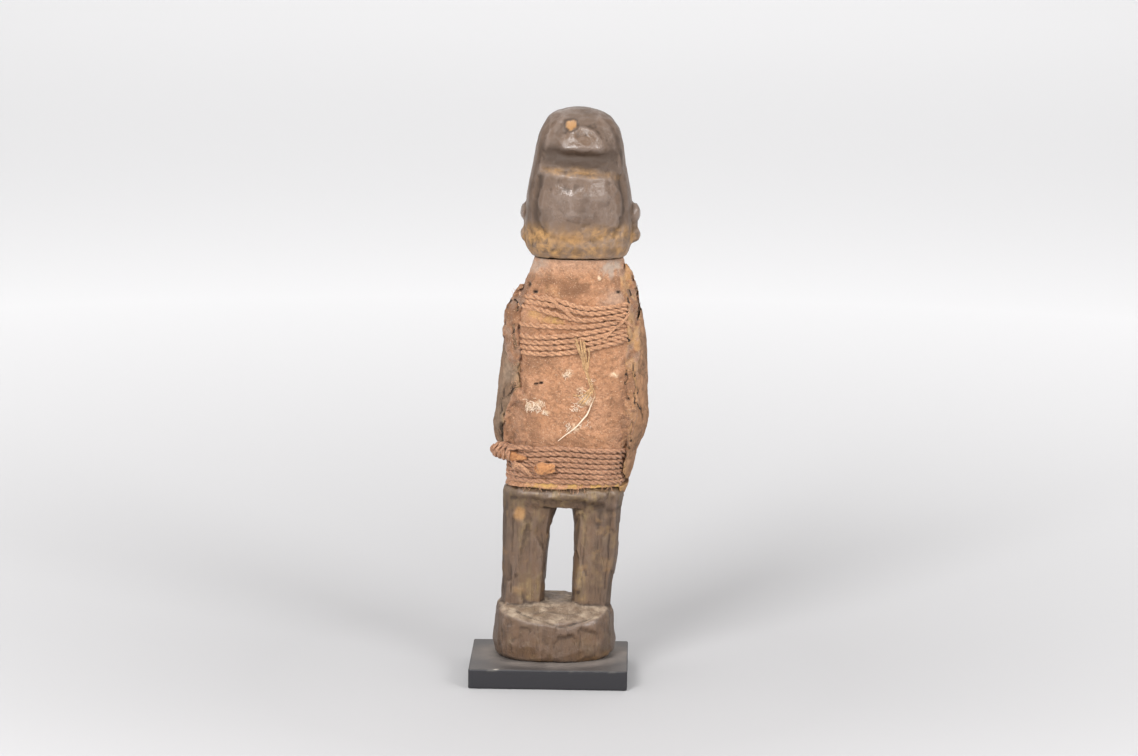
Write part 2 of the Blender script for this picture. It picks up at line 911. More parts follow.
@dataclass(frozen=True)
class BlackPaint:
    """Satin black paint with dust on top and a few rubbed spots."""

    paint: Colour = (0.021, 0.020, 0.023)
    dust: Colour = (0.230, 0.195, 0.170)
    chip: Colour = (0.620, 0.560, 0.470)

    def material(self, effects: Effects) -> Material:
        """Build the finish.

        Args:
            effects: the shared groups.

        Returns:
            The material.
        """
        box = Paintbox("Black paint", Specular_IOR_Level=0.5)
        blotch = box.place(effects.blotch, Size=60.0, Speck_Size=1100.0, Speck_Share=0.42)
        dusty = box.times(box.mask("dust"), box.remap(blotch["Blotch"], -0.6, 1.0))
        colour = box.mix(dusty, self.paint, self.dust)
        speck = box.times(blotch["Speck"], box.times(box.mask("dust"), 0.35))
        colour = box.mix(speck, colour, self.dust)
        colour = box.mix(box.mask("chip"), colour, self.chip)
        dull = box.plus(0.42, box.times(dusty, 0.45))
        height = box.plus(blotch["Blotch"], blotch["Speck"])
        return box.close(colour, dull, height, 0.03)


# Geometry node trees


def geometry_tree(name: str, inputs: dict[str, tuple[str, object]]) -> tuple[Wiring, Node, Node]:
    """Start a Geometry Nodes tree with named inputs.

    Args:
        name: the tree's name.
        inputs: socket type and usual value by name, after the Geometry input.

    Returns:
        The wiring, the tree's input node and its output node.
    """
    tree = bpy.data.node_groups.new(name, "GeometryNodeTree")
    wiring = Wiring(tree)
    tree.interface.new_socket("Geometry", in_out="INPUT", socket_type="NodeSocketGeometry")
    for label, (kind, usual) in inputs.items():
        socket = tree.interface.new_socket(label, in_out="INPUT", socket_type="NodeSocket" + kind)
        if usual is not None:
            socket.default_value = usual
    tree.interface.new_socket("Geometry", in_out="OUTPUT", socket_type="NodeSocketGeometry")
    return wiring, wiring.add("NodeGroupInput"), wiring.add("NodeGroupOutput")


def end_tree(wiring: Wiring, made: Socket, material: Socket, out: Node) -> None:
    """End a tree with smooth shading, realized instances and its material.

    Args:
        wiring: the tree's wiring.
        made: the geometry.
        material: the material's socket.
        out: the tree's output node.
    """
    smooth = wiring.add("GeometryNodeSetShadeSmooth", {0: made})
    real = wiring.add("GeometryNodeRealizeInstances", {0: smooth.outputs[0]})
    painted = wiring.add("GeometryNodeSetMaterial", {"Geometry": real.outputs[0], "Material": material})
    wiring.link(painted.outputs[0], out.inputs[0])


def cord_tree() -> Tree:
    """Build the tree that lays twisted strands along a curve.

    Returns:
        The tree.
    """
    wiring, given, out = geometry_tree(
        "Twisted cord",
        {
            "Strands": ("Int", 2),
            "Strand Radius": ("Float", 0.7 * MM),
            "Lay Radius": ("Float", 0.6 * MM),
            "Lay Length": ("Float", 8.0 * MM),
            "Step": ("Float", 0.6 * MM),
            "Sides": ("Int", 8),
            "Seed": ("Int", 1),
            "Material": ("Material", None),
        },
    )
    read = given.outputs
    even = wiring.add(
        "GeometryNodeResampleCurve", {"Curve": read["Geometry"], "Length": read["Step"]}, mode="LENGTH"
    )
    copies = wiring.add(
        "GeometryNodeDuplicateElements", {"Geometry": even.outputs[0], "Amount": read["Strands"]},
        domain="SPLINE"
    )
    length = wiring.add("GeometryNodeSplineParameter").outputs["Length"]
    full = 2 * math.pi
    turn = wiring.times(wiring.math("DIVIDE", length, read["Lay Length"]), full)
    own = wiring.times(wiring.math("DIVIDE", copies.outputs["Duplicate Index"], read["Strands"]), full)
    place = wiring.add("GeometryNodeInputPosition").outputs[0]
    wander = wiring.add(
        "ShaderNodeTexNoise", {"Vector": place, "W": read["Seed"], "Scale": 110.0, "Detail": 2.0},
        noise_dimensions="4D"
    )
    loose = wiring.times(wiring.minus(wander.outputs["Fac"], 0.5), 2.2)
    angle = wiring.plus(wiring.plus(turn, own), loose)
    normal = wiring.add("GeometryNodeInputNormal").outputs[0]
    tangent = wiring.add("GeometryNodeInputTangent").outputs[0]
    across = wiring.vector("CROSS_PRODUCT", tangent, normal)
    parts = []
    for operation, direction in (("COSINE", normal), ("SINE", across)):
        reach = wiring.times(wiring.math(operation, angle), read["Lay Radius"])
        part = wiring.add("ShaderNodeVectorMath", {0: direction}, operation="SCALE")
        wiring.link(reach, part.inputs["Scale"])
        parts.append(part.outputs[0])
    offset = wiring.vector("ADD", parts[0], parts[1])
    moved = wiring.add("GeometryNodeSetPosition", {"Geometry": copies.outputs[0], "Offset": offset})
    ring = wiring.add(
        "GeometryNodeCurvePrimitiveCircle", {"Resolution": read["Sides"], "Radius": read["Strand Radius"]}
    )
    skin = wiring.add(
        "GeometryNodeCurveToMesh",
        {"Curve": moved.outputs[0], "Profile Curve": ring.outputs[0], "Fill Caps": True}
    )
    end_tree(wiring, skin.outputs[0], read["Material"], out)
    return wiring.tree


def fibre_tree() -> Tree:
    """Build the tree that grows a bent fibre from each point, the way its comb says.

    Returns:
        The tree.
    """
    wiring, given, out = geometry_tree(
        "Loose fibres",
        {
            "Thickness": ("Float", 0.12 * MM),
            "Bend": ("Float", 0.35),
            "Sides": ("Int", 4),
            "Seed": ("Int", 1),
            "Material": ("Material", None),
        },
    )
    read = given.outputs
    middle = wiring.add("ShaderNodeCombineXYZ", {0: read["Bend"], 1: 0.0, 2: 0.5}).outputs[0]
    bent = wiring.add(
        "GeometryNodeCurveQuadraticBezier",
        {"Resolution": 6, "Start": (0, 0, 0), "Middle": middle, "End": (0, 0, 1)}
    )
    factor = wiring.add("GeometryNodeSplineParameter").outputs["Factor"]
    thin = wiring.minus(1.0, wiring.times(factor, 0.75))
    tapered = wiring.add("GeometryNodeSetCurveRadius", {"Curve": bent.outputs[0], "Radius": thin})
    ring = wiring.add(
        "GeometryNodeCurvePrimitiveCircle", {"Resolution": read["Sides"], "Radius": read["Thickness"]}
    )
    fibre = wiring.add(
        "GeometryNodeCurveToMesh",
        {"Curve": tapered.outputs[0], "Profile Curve": ring.outputs[0], "Fill Caps": True},
    )
    comb = wiring.add(
        "GeometryNodeInputNamedAttribute", {"Name": "comb"}, data_type="FLOAT_VECTOR"
    ).outputs[0]
    reach = wiring.add("GeometryNodeInputNamedAttribute", {"Name": "reach"}, data_type="FLOAT").outputs[0]
    aim = wiring.add("FunctionNodeAlignRotationToVector", {"Vector": comb}, axis="Z")
    spin = wiring.add(
        "FunctionNodeRandomValue", {2: 0.0, 3: 2 * math.pi, "Seed": read["Seed"]}, data_type="FLOAT"
    )
    about = wiring.add("ShaderNodeCombineXYZ", {2: spin.outputs[1]}).outputs[0]
    roll = wiring.add("FunctionNodeEulerToRotation", {0: about}).outputs[0]
    turned = wiring.add("FunctionNodeRotateRotation", {0: aim.outputs[0], 1: roll}, rotation_space="LOCAL")
    size = wiring.add("ShaderNodeCombineXYZ", {0: reach, 1: reach, 2: reach}).outputs[0]
    grown = wiring.add(
        "GeometryNodeInstanceOnPoints",
        {
            "Points": given.outputs[0], "Instance": fibre.outputs[0], "Rotation": turned.outputs[0],
            "Scale": size
        },
    )
    end_tree(wiring, grown.outputs[0], read["Material"], out)
    return wiring.tree


@dataclass(frozen=True)
class Looms:
    """The Geometry Nodes trees that several pieces use."""

    cord: Tree
    fibre: Tree

    @staticmethod
    def build() -> "Looms":
        """Build each tree once."""
        return Looms(cord_tree(), fibre_tree())


def run_tree(host: Piece, tree: Tree, name: str, **inputs: object) -> Piece:
    """Run a tree on a host and keep its result as a plain mesh.

    Args:
        host: the curve or mesh that the tree starts from; it is removed.
        tree: the tree.
        name: the new object's name.
        inputs: values by socket name, with _ for a space.

    Returns:
        The new object, without modifiers.
    """
    weave = host.modifiers.new("Weave", "NODES")
    weave.node_group = tree
    sockets = {item.name: item.identifier for item in tree.interface.items_tree if item.in_out == "INPUT"}
    for label, value in inputs.items():
        weave[sockets[label.replace("_", " ")]] = value
    bpy.context.view_layer.update()
    evaluated = host.evaluated_get(bpy.context.evaluated_depsgraph_get())
    mesh = bpy.data.meshes.new_from_object(evaluated)
    bpy.data.objects.remove(host)
    return show(name, mesh)


def curve_host(name: str, paths: Sequence[Array]) -> Piece:
    """Make a curve object of open lines.

    Args:
        name: the object's name.
        paths: rows in millimetres, one array for each line.

    Returns:
        The curve object.
    """
    data = bpy.data.curves.new(name, "CURVE")
    data.dimensions = "3D"
    for path in paths:
        line = data.splines.new("POLY")
        line.points.add(len(path) - 1)
        rows = np.column_stack([path * MM, np.ones(len(path))])
        line.points.foreach_set("co", rows.astype(np.float32).ravel())
    return show(name, data)


def fibre_host(name: str, roots: Array, combs: Array, reaches: Array) -> Piece:
    """Make the points that fibres grow from.

    Args:
        name: the object's name.
        roots: where each fibre starts, in millimetres.
        combs: which way each goes.
        reaches: how long each is, in millimetres.

    Returns:
        An object of loose points with comb and reach on them.
    """
    host = make_mesh(name, roots, [])
    comb = host.data.attributes.new("comb", "FLOAT_VECTOR", "POINT")
    comb.data.foreach_set("vector", combs.astype(np.float32).ravel())
    reach = host.data.attributes.new("reach", "FLOAT", "POINT")
    reach.data.foreach_set("value", (reaches * MM).astype(np.float32))
    return host


class Probe:
    """Finds the surface of pieces, with rays that start FAR millimetres out."""

    FAR = 200.0

    def __init__(self, *pieces: Piece) -> None:
        """Read surfaces.

        Args:
            pieces: the objects that have them.
        """
        corners: list[Vector] = []
        faces: list[tuple[int, ...]] = []
        for piece in pieces:
            first = len(corners)
            corners += [v.co / MM for v in piece.data.vertices]
            faces += [tuple(first + i for i in p.vertices) for p in piece.data.polygons]
        self.tree = BVHTree.FromPolygons(corners, faces)

    def from_outside(self, centre: Point, direction: Point) -> Vector | None:
        """Find where a line towards a centre first meets the surface, or None."""
        start = Vector(centre) + Vector(direction) * self.FAR
        return self.tree.ray_cast(start, -Vector(direction), self.FAR)[0]

    def behind(self, x: float, z: float) -> Vector:
        """Find the surface at the figure's back."""
        return self.along(x, z, 1.0)

    def before(self, x: float, z: float) -> Vector:
        """Find the surface at the figure's front; x is across and z the height."""
        return self.along(x, z, -1.0)

    def along(self, x: float, z: float, way: float) -> Vector:
        """Find where a line along Y first meets the surface.

        Args:
            x: across.
            z: height.
            way: 1 from behind or -1 from the front.

        Returns:
            The point, or one on the middle plane where there is none.
        """
        found = self.tree.ray_cast(
            Vector((x, -way * self.FAR, z)), Vector((0.0, way, 0.0)), 1.5 * self.FAR
        )[0]
        return found if found is not None else Vector((x, 0.0, z))


# The carving


@dataclass
class Carving:
    """The figure in one piece of wood, from its round foot to its crown."""

    voxel: float = 0.85
    ledge_middle: float = 259.1
    ledge_rise: float = -0.0012
    ledge_tilt: float = -0.09
    solid_ledge: tuple[float, float] = (256.4, 0.0105)
    head_middle: float = 13.3
    neck_height: float = 216.5
    foot_top: float = 37.0
    hip_height: float = 97.0

    def ledge_height(self, x: Array) -> Array:
        """Height of the shelf across the back of the head."""
        aside = x - self.head_middle
        return self.ledge_middle + self.ledge_rise * aside**2 + self.ledge_tilt * aside

    def carve_head(self, skin: Skin) -> dict[str, Array]:
        """Cut the swept-back hair, its shelf and knob, and the hood's edges.

        Args:
            skin: the carving's surface.

        Returns:
            Masks by name.
        """
        x, y, z = skin.points.T
        back = ramp(4.0, -2.0, y)
        wide = ramp(21.5, 18.0, np.abs(x - self.head_middle))
        plain = self.solid_ledge[0] + self.solid_ledge[1] * (x - self.head_middle) ** 2
        band = ramp(-9.0, -1.0, z - plain) * ramp(6.0, 1.0, z - plain)
        skin.points[:, 2] += (self.ledge_height(x) - plain) * band * wide * back
        over = z - self.ledge_height(x) + 0.45 * rough(skin.points * (1.0, 0.2, 1.0), 5.0, 15)
        across = np.abs(x - self.head_middle) / np.interp(z, (262, 271, 277), (23.5, 22.1, 20.7))
        depth = np.interp(z, (262, 271, 277), (22.4, 20.4, 18.5))
        dome = 6.0 - depth * np.clip(1.0 - across**2.3, 0.0, 1.0) ** 0.435
        bowl = np.sqrt(np.clip(1.0 - (x - self.head_middle) ** 2 / 21.0**2, 0.0, 1.0))
        hollow = 3.4 * bowl * ramp(-0.5, 8.0, over) * ramp(19.0, 8.0, over)
        scoop = ramp(-0.7, 0.3, over) * ramp(275.0, 268.0, z) * wide * back
        skin.points[:, 1] += scoop * (dome + hollow - skin.points[:, 1])
        shade = ramp(0.3, 4.5, over) * ramp(15.5, 9.5, over) * bowl**0.5 * back
        powder = ramp(-2.0, -0.3, over) * ramp(1.2 + 3.6 * bowl, 0.4, over) * wide * back
        shelf = ramp(-9.0, -0.4, over) * ramp(0.9, 0.0, over) * wide * back
        skin.points[:, 1] -= 0.8 * shelf
        flat = np.hypot((x - 14.0) / 10.3, (z - 271.5) / 11.0)
        knob_face = ramp(1.22, 0.74, flat) * ramp(267.0, 273.5, z) * back
        plane = -9.9 - 0.55 * (282.0 - z) + 0.014 * (x - 14.0) ** 2
        skin.points[:, 1] += 0.95 * knob_face * (plane - skin.points[:, 1])
        skin.points[:, 1] += (
            0.10 * knob_face * np.sin(x * 3.6 + 0.4 * noise(skin.points, 3.0, 16)) * ramp(273.0, 280.0, z)
        )
        sides = []
        for side in (-1, 1):
            edge = self.head_middle + side * 20.3
            path = [
                (edge - side * 0.6, -8.6, 257.5), (edge + side * 1.6, -9.3, 248.0),
                (edge + side * 2.2, -9.6, 240.0)
            ]
            path += [(edge + side * 0.8, -10.0, 233.5), (edge - side * 3.0, -11.4, 228.6)]
            sides.append(skin.stroke(smooth_path(path, 1.0), 1.5, 0.85))
        hood = [
            [(-6.6, -8.8, 260), (-4.4, -7.8, 270.4), (-1.4, -5.2, 279), (4.5, -4, 286)],
            [(33.6, -6.3, 259.7), (31.6, -6, 270.6), (28.9, -5.5, 278), (22.5, -4, 286)],
        ]
        brims = [skin.stroke(path, 1.5, -0.5) for path in hood]
        arch = [
            (5, -10.3, 279.4), (9, -9.5, 282.4), (14, -9.6, 283.2), (19.6, -9.6, 281.8), (22.6, -10.2, 279.4)
        ]
        rim = skin.stroke(smooth_path(arch, 1.0), 0.8, 0.35)
        around = ramp(2.1, 1.5, flat) * ramp(0.95, 1.25, flat) * ramp(264.0, 269.0, z) * back
        skin.push(-0.7 * ramp(3.0, 1.2, self.chip(skin.points)) * back)
        bulge = ramp(20.0, 8.0, np.abs(x - self.head_middle)) * ramp(228.0, 240.0, z) * ramp(256.0, 249.0, z)
        skin.points[:, 1] -= 0.9 * bulge * back
        skirt = [(-9.3, -8.8, 233), (-3.8, -12, 228.6), (3.7, -14, 226.6), (13.7, -14.7, 226)]
        skirt += [(23.6, -14, 227.2), (30.5, -12.2, 232)]
        hem = skin.stroke(skirt, 1.3, 0.35)
        line = 0.7 * sides[0] + 0.7 * sides[1] + 0.45 * rim + 0.4 * hem - 0.3 * brims[0] - 0.3 * brims[1]
        nape = ramp(233.0, 226.0, skin.points[:, 2]) * back
        skin.push(nape * (0.28 * rough(skin.points, 4.5, 17, 4) - 0.05))
        return {"line": line, "shade": shade + 0.4 * around, "powder": powder, "knob": knob_face}

    def chip(self, points: Array) -> Array:
        """Measure how far points are from the chip on the crown."""
        return apart(points, (8.5, -8.1, 283), (1, 0.3, 1.15)) + 0.6 * noise(points, 1.6, 6)

    def carve_face(self, skin: Skin) -> None:
        """Give the hidden face plain lids, lips and brows.

        Args:
            skin: the carving's surface.
        """
        front = Probe(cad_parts["figure"])

        def on_front(across: float, height: float) -> Point:
            """Find a point on the face."""
            return tuple(front.before(self.head_middle + across, height))

        for side in (-1, 1):
            lid = [(4, 246.2), (6, 248.4), (9.5, 249.4), (13, 248.6), (15.4, 246.4)]
            skin.stroke([on_front(side * a, h) for a, h in lid], 0.7, 0.55)
            under = [(4.2, 245.8), (6.5, 243.6), (9.5, 242.8), (12.8, 243.6), (15.2, 245.8)]
            skin.stroke([on_front(side * a, h) for a, h in under], 0.7, 0.45)
            slit = [(5.2, 246), (9.5, 245.6), (14.2, 246)]
            skin.stroke([on_front(side * a, h) for a, h in slit], 0.45, 0.5)
            brow = [(3, 252.4), (8, 254.2), (14, 253.6), (18.5, 250.6)]
            skin.stroke([on_front(side * a, h) for a, h in brow], 1.2, -0.55)
            wing = [(1, 230.6), (3.4, 230.9), (4.6, 232.6)]
            skin.stroke([on_front(side * a, h) for a, h in wing], 0.6, 0.45)
        mouth = [(-6.2, 224.4), (-3, 223.9), (0, 224.2), (3, 223.9), (6.2, 224.4)]
        skin.stroke([on_front(a, h) for a, h in mouth], 0.5, 0.6)
        chin = [(-5, 218.4), (0, 217.8), (5, 218.4)]
        skin.stroke([on_front(a, h) for a, h in chin], 0.9, 0.4)

    def carve_body(self, skin: Skin) -> dict[str, Array]:
        """Cut the hips, knees, toes and the drying cracks of the foot.

        Args:
            skin: the carving's surface.

        Returns:
            Masks by name.
        """
        wood = Probe(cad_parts["figure"])

        def on_back(*route: tuple[float, float]) -> Array:
            """Lay a rounded line on the back."""
            return smooth_path([tuple(wood.behind(a, b)) for a, b in route], 0.6)

        crack = on_back((-17, 35.2), (-11.2, 33.4), (-4.5, 32), (4.7, 29.8), (12.8, 30.8), (22, 33.4))
        crack += 0.5 * shake(crack, 3.0, 25)
        cracks = skin.stroke(crack, 0.36, 0.6)
        ridge = on_back(
            (-20.4, 97.8), (-14, 97.6), (-6, 95.8), (3, 94.6), (13, 95.2), (24.5, 92.8), (31.6, 89.8)
        )
        lip = skin.stroke(ridge, 2.4, -0.25)
        lower = on_back((-19, 93.8), (-13, 93.4), (-5, 92), (3, 91.6), (13, 91.6), (24, 88.8), (31, 86.4))
        under = skin.stroke(lower, 2.2, 0.5)
        for way, deep, dark in (
            (on_back((-15, 36.4), (-8, 37), (0, 36.4)), 0.3, 0.5),
            (on_back((-8, 34.4), (0, 35), (9, 34.2), (17, 35)), 0.35, 0.6),
            (on_back((3, 31.8), (9, 32.6), (17, 32.2), (23, 34.6)), 0.25, 0.5),
            (on_back((-24, 14), (-23.4, 22), (-24.2, 30)), 0.4, 0.35),
            (on_back((-8.6, 20), (-9.4, 26), (-8.4, 32)), 0.25, 0.3),
            (on_back((15.4, 13), (16, 19), (15, 26), (16.4, 30)), 0.3, 0.3),
            (on_back((-2.4, 46), (-3, 60), (-4.4, 74)), 0.5, 0.15),
            (on_back((-20, 44), (-19.6, 62), (-18.6, 82)), 0.45, 0.15),
            (on_back((15.4, 44), (16.6, 60), (18.2, 78)), 0.4, 0.15),
            (on_back((27.6, 46), (29.4, 62), (30.6, 82)), 0.45, 0.15),
        ):
            cracks = np.maximum(cracks, dark * skin.stroke(way, 0.4, deep))
        for foot in (-13.2, 21.6):
            for toe in (-1.5, -0.5, 0.5, 1.5):
                start = (foot + toe * 4.0, 26.5, 35.6)
                end = (foot + toe * 4.3, 29.6, 32.0)
                skin.stroke([start, end], 0.5, 0.45)
        return {"crack": cracks, "lip": lip, "under": under}

    def masks(self, skin: Skin, lines: dict[str, Array]) -> dict[str, Array]:
        """Work out where dust, polish and dirt lie.

        Args:
            skin: the carved surface.
            lines: masks that the carving left.

        Returns:
            Masks by attribute name.
        """
        points = skin.points
        x, y, z = points.T
        normals = skin.normals()
        up = normals[:, 2]
        fine, broad = skin.hollowness(4), skin.hollowness(26)
        patch = rough(points, 14.0, 5)
        small = rough(points, 4.0, 9)
        head = ramp(self.neck_height - 2.0, self.neck_height + 2.0, z)
        hollow = ramp(0.02, 0.16, fine) * 0.7 + ramp(0.15, 0.9, broad) * 0.5 + 0.9 * lines["line"]
        hollow += (
            0.95 * lines["shade"] + 0.4 * lines["under"] + 0.42 * head * ramp(0.05, 0.7, patch + 0.4 * small)
            * (1.0 - lines["knob"])
        )
        outer = ramp(4.5, 1.5, np.abs(x + 22.5)) + ramp(5.5, 2.5, np.abs(x - 27.5))
        hollow += 0.3 * outer * ramp(38.0, 46.0, z) * ramp(self.hip_height, self.hip_height - 8.0, z)
        hollow += 0.35 * (1.0 - head) * ramp(0.15, 0.7, rough(points * (1.0, 1.0, 0.5), 3.6, 34))
        flank = ramp(0.55, 0.95, np.abs(normals[:, 0])) * (z < self.hip_height)
        hollow += 0.45 * flank + 0.35 * head * ramp(0.6, 0.95, np.abs(normals[:, 0])) * ramp(0.0, -4.0, y)
        polish = (
            ramp(0.0, 0.12, -fine) * (0.3 + 0.25 * head) + ramp(0.2, 0.9, -broad) * 0.5 + 0.05 * lines["knob"]
        )
        panel = ramp(19.5, 15.0, np.abs(x - self.head_middle)) * ramp(2.0, -6.0, y)
        panel *= ramp(231.0, 240.0, z) * ramp(257.0, 254.0, z)
        polish = polish * (0.55 + 0.5 * head) + 0.4 * panel + 0.15 * lines["lip"]
        rubbed = ramp(-0.5, 0.5, rough(points * (1.0, 1.0, 0.28), 4.0, 12))
        dust = (
            ramp(0.35, 0.85, up) * (1.0 - head) * ramp(self.foot_top + 8.0, self.foot_top, z)
            * (0.35 + 0.65 * rubbed)
        )
        hollow += 0.35 * lines["powder"]
        facet = ramp(7.0, 3.0, np.abs(x + 10.5)) + ramp(5.5, 2.0, np.abs(x - 15.5)) + ramp(84.0, 92.0, z)
        streak = (1.0 - head) * rubbed * (0.08 + 0.62 * np.clip(facet, 0.0, 1.0)) * ramp(35.0, 42.0, z)
        streak *= 0.55 + 0.7 * ramp(-0.3, 0.4, rough(points, 2.4, 33))
        streak += 0.2 * (1.0 - head) * ramp(0.1, 0.6, patch + small)
        nape = (
            ramp(236.0, 228.0, z) * ramp(self.neck_height - 3.0, self.neck_height + 3.0, z)
            * ramp(14.0, 2.0, y)
        )
        ochre = nape * (0.35 + 0.65 * ramp(-0.7, 0.4, patch + 0.8 * small))
        hollow += 0.65 * nape * ramp(-0.1, 0.5, rough(points, 5.0, 18))
        ochre += lines["powder"] * (0.20 + 0.40 * ramp(-0.4, 0.3, small))
        low_rim = ramp(16.0, 11.5, z) * ramp(9.0, 10.6, z)
        ochre += low_rim * ramp(-0.1, 0.5, patch) * 0.6
        ochre += (
            ramp(0.15, 0.7, small) * ramp(self.hip_height + 3.0, self.hip_height - 14.0, z) * 0.25 * (z > 40)
        )
        chip = self.chip(points)
        spot = apart(points, (-15.6, -5, 85), (1, 0.3, 0.7))
        tan = ramp(2.9, 2.1, chip) * ramp(4.0, -2.0, y) * (0.62 + 0.2 * ramp(-0.3, 0.3, small))
        hollow += ramp(4.4, 3.2, chip) * ramp(2.2, 3.0, chip) * ramp(4.0, -2.0, y) * 0.9
        tan += ramp(3.6, 1.6, spot + small) * ramp(4.0, -2.0, y) * 0.55
        smear = apart(points, (9, -14, 227), (0.5, 0.2, 1.2))
        tan += 0.3 * ramp(5.5, 1.0, smear + 2.0 * small)
        return {
            "hollow": hollow,
            "polish": polish,
            "dust": dust,
            "ochre": ochre,
            "tan": tan,
            "head": 0.5 * head,
            "streak": streak,
            "gloss": lines["knob"] + 0.6 * panel,
            "crack": 0.8 * ramp(0.3, 0.9, lines["crack"]),
        }

    def build(self) -> Piece:
        """Carve the figure.

        Returns:
            The piece, with its masks.
        """
        skin = Skin(remeshed("figure", "carved_figure", self.voxel))
        skin.relax(7)
        z = skin.points[:, 2]
        lines = self.carve_head(skin)
        self.carve_face(skin)
        legs = ramp(self.hip_height + 6.0, self.hip_height, z)
        foot = ramp(36.0, 30.0, z)
        skin.chop(8.5, 2.4, 0.9 * legs * (1.0 - foot), 3)
        skin.chop(15.0, 1.0, 0.8 * foot, 4)
        skin.chop(5.0, 1.2, 0.7 * (1.0 - legs), 8)
        lines |= self.carve_body(skin)
        skin.push(0.05 * rough(skin.points * (1.0, 1.0, 0.35), 3.0, 21) + 0.12 * rough(skin.points, 7.0, 22))
        skin.relax(1)
        return skin.finish(**self.masks(skin, lines))


# Cloth


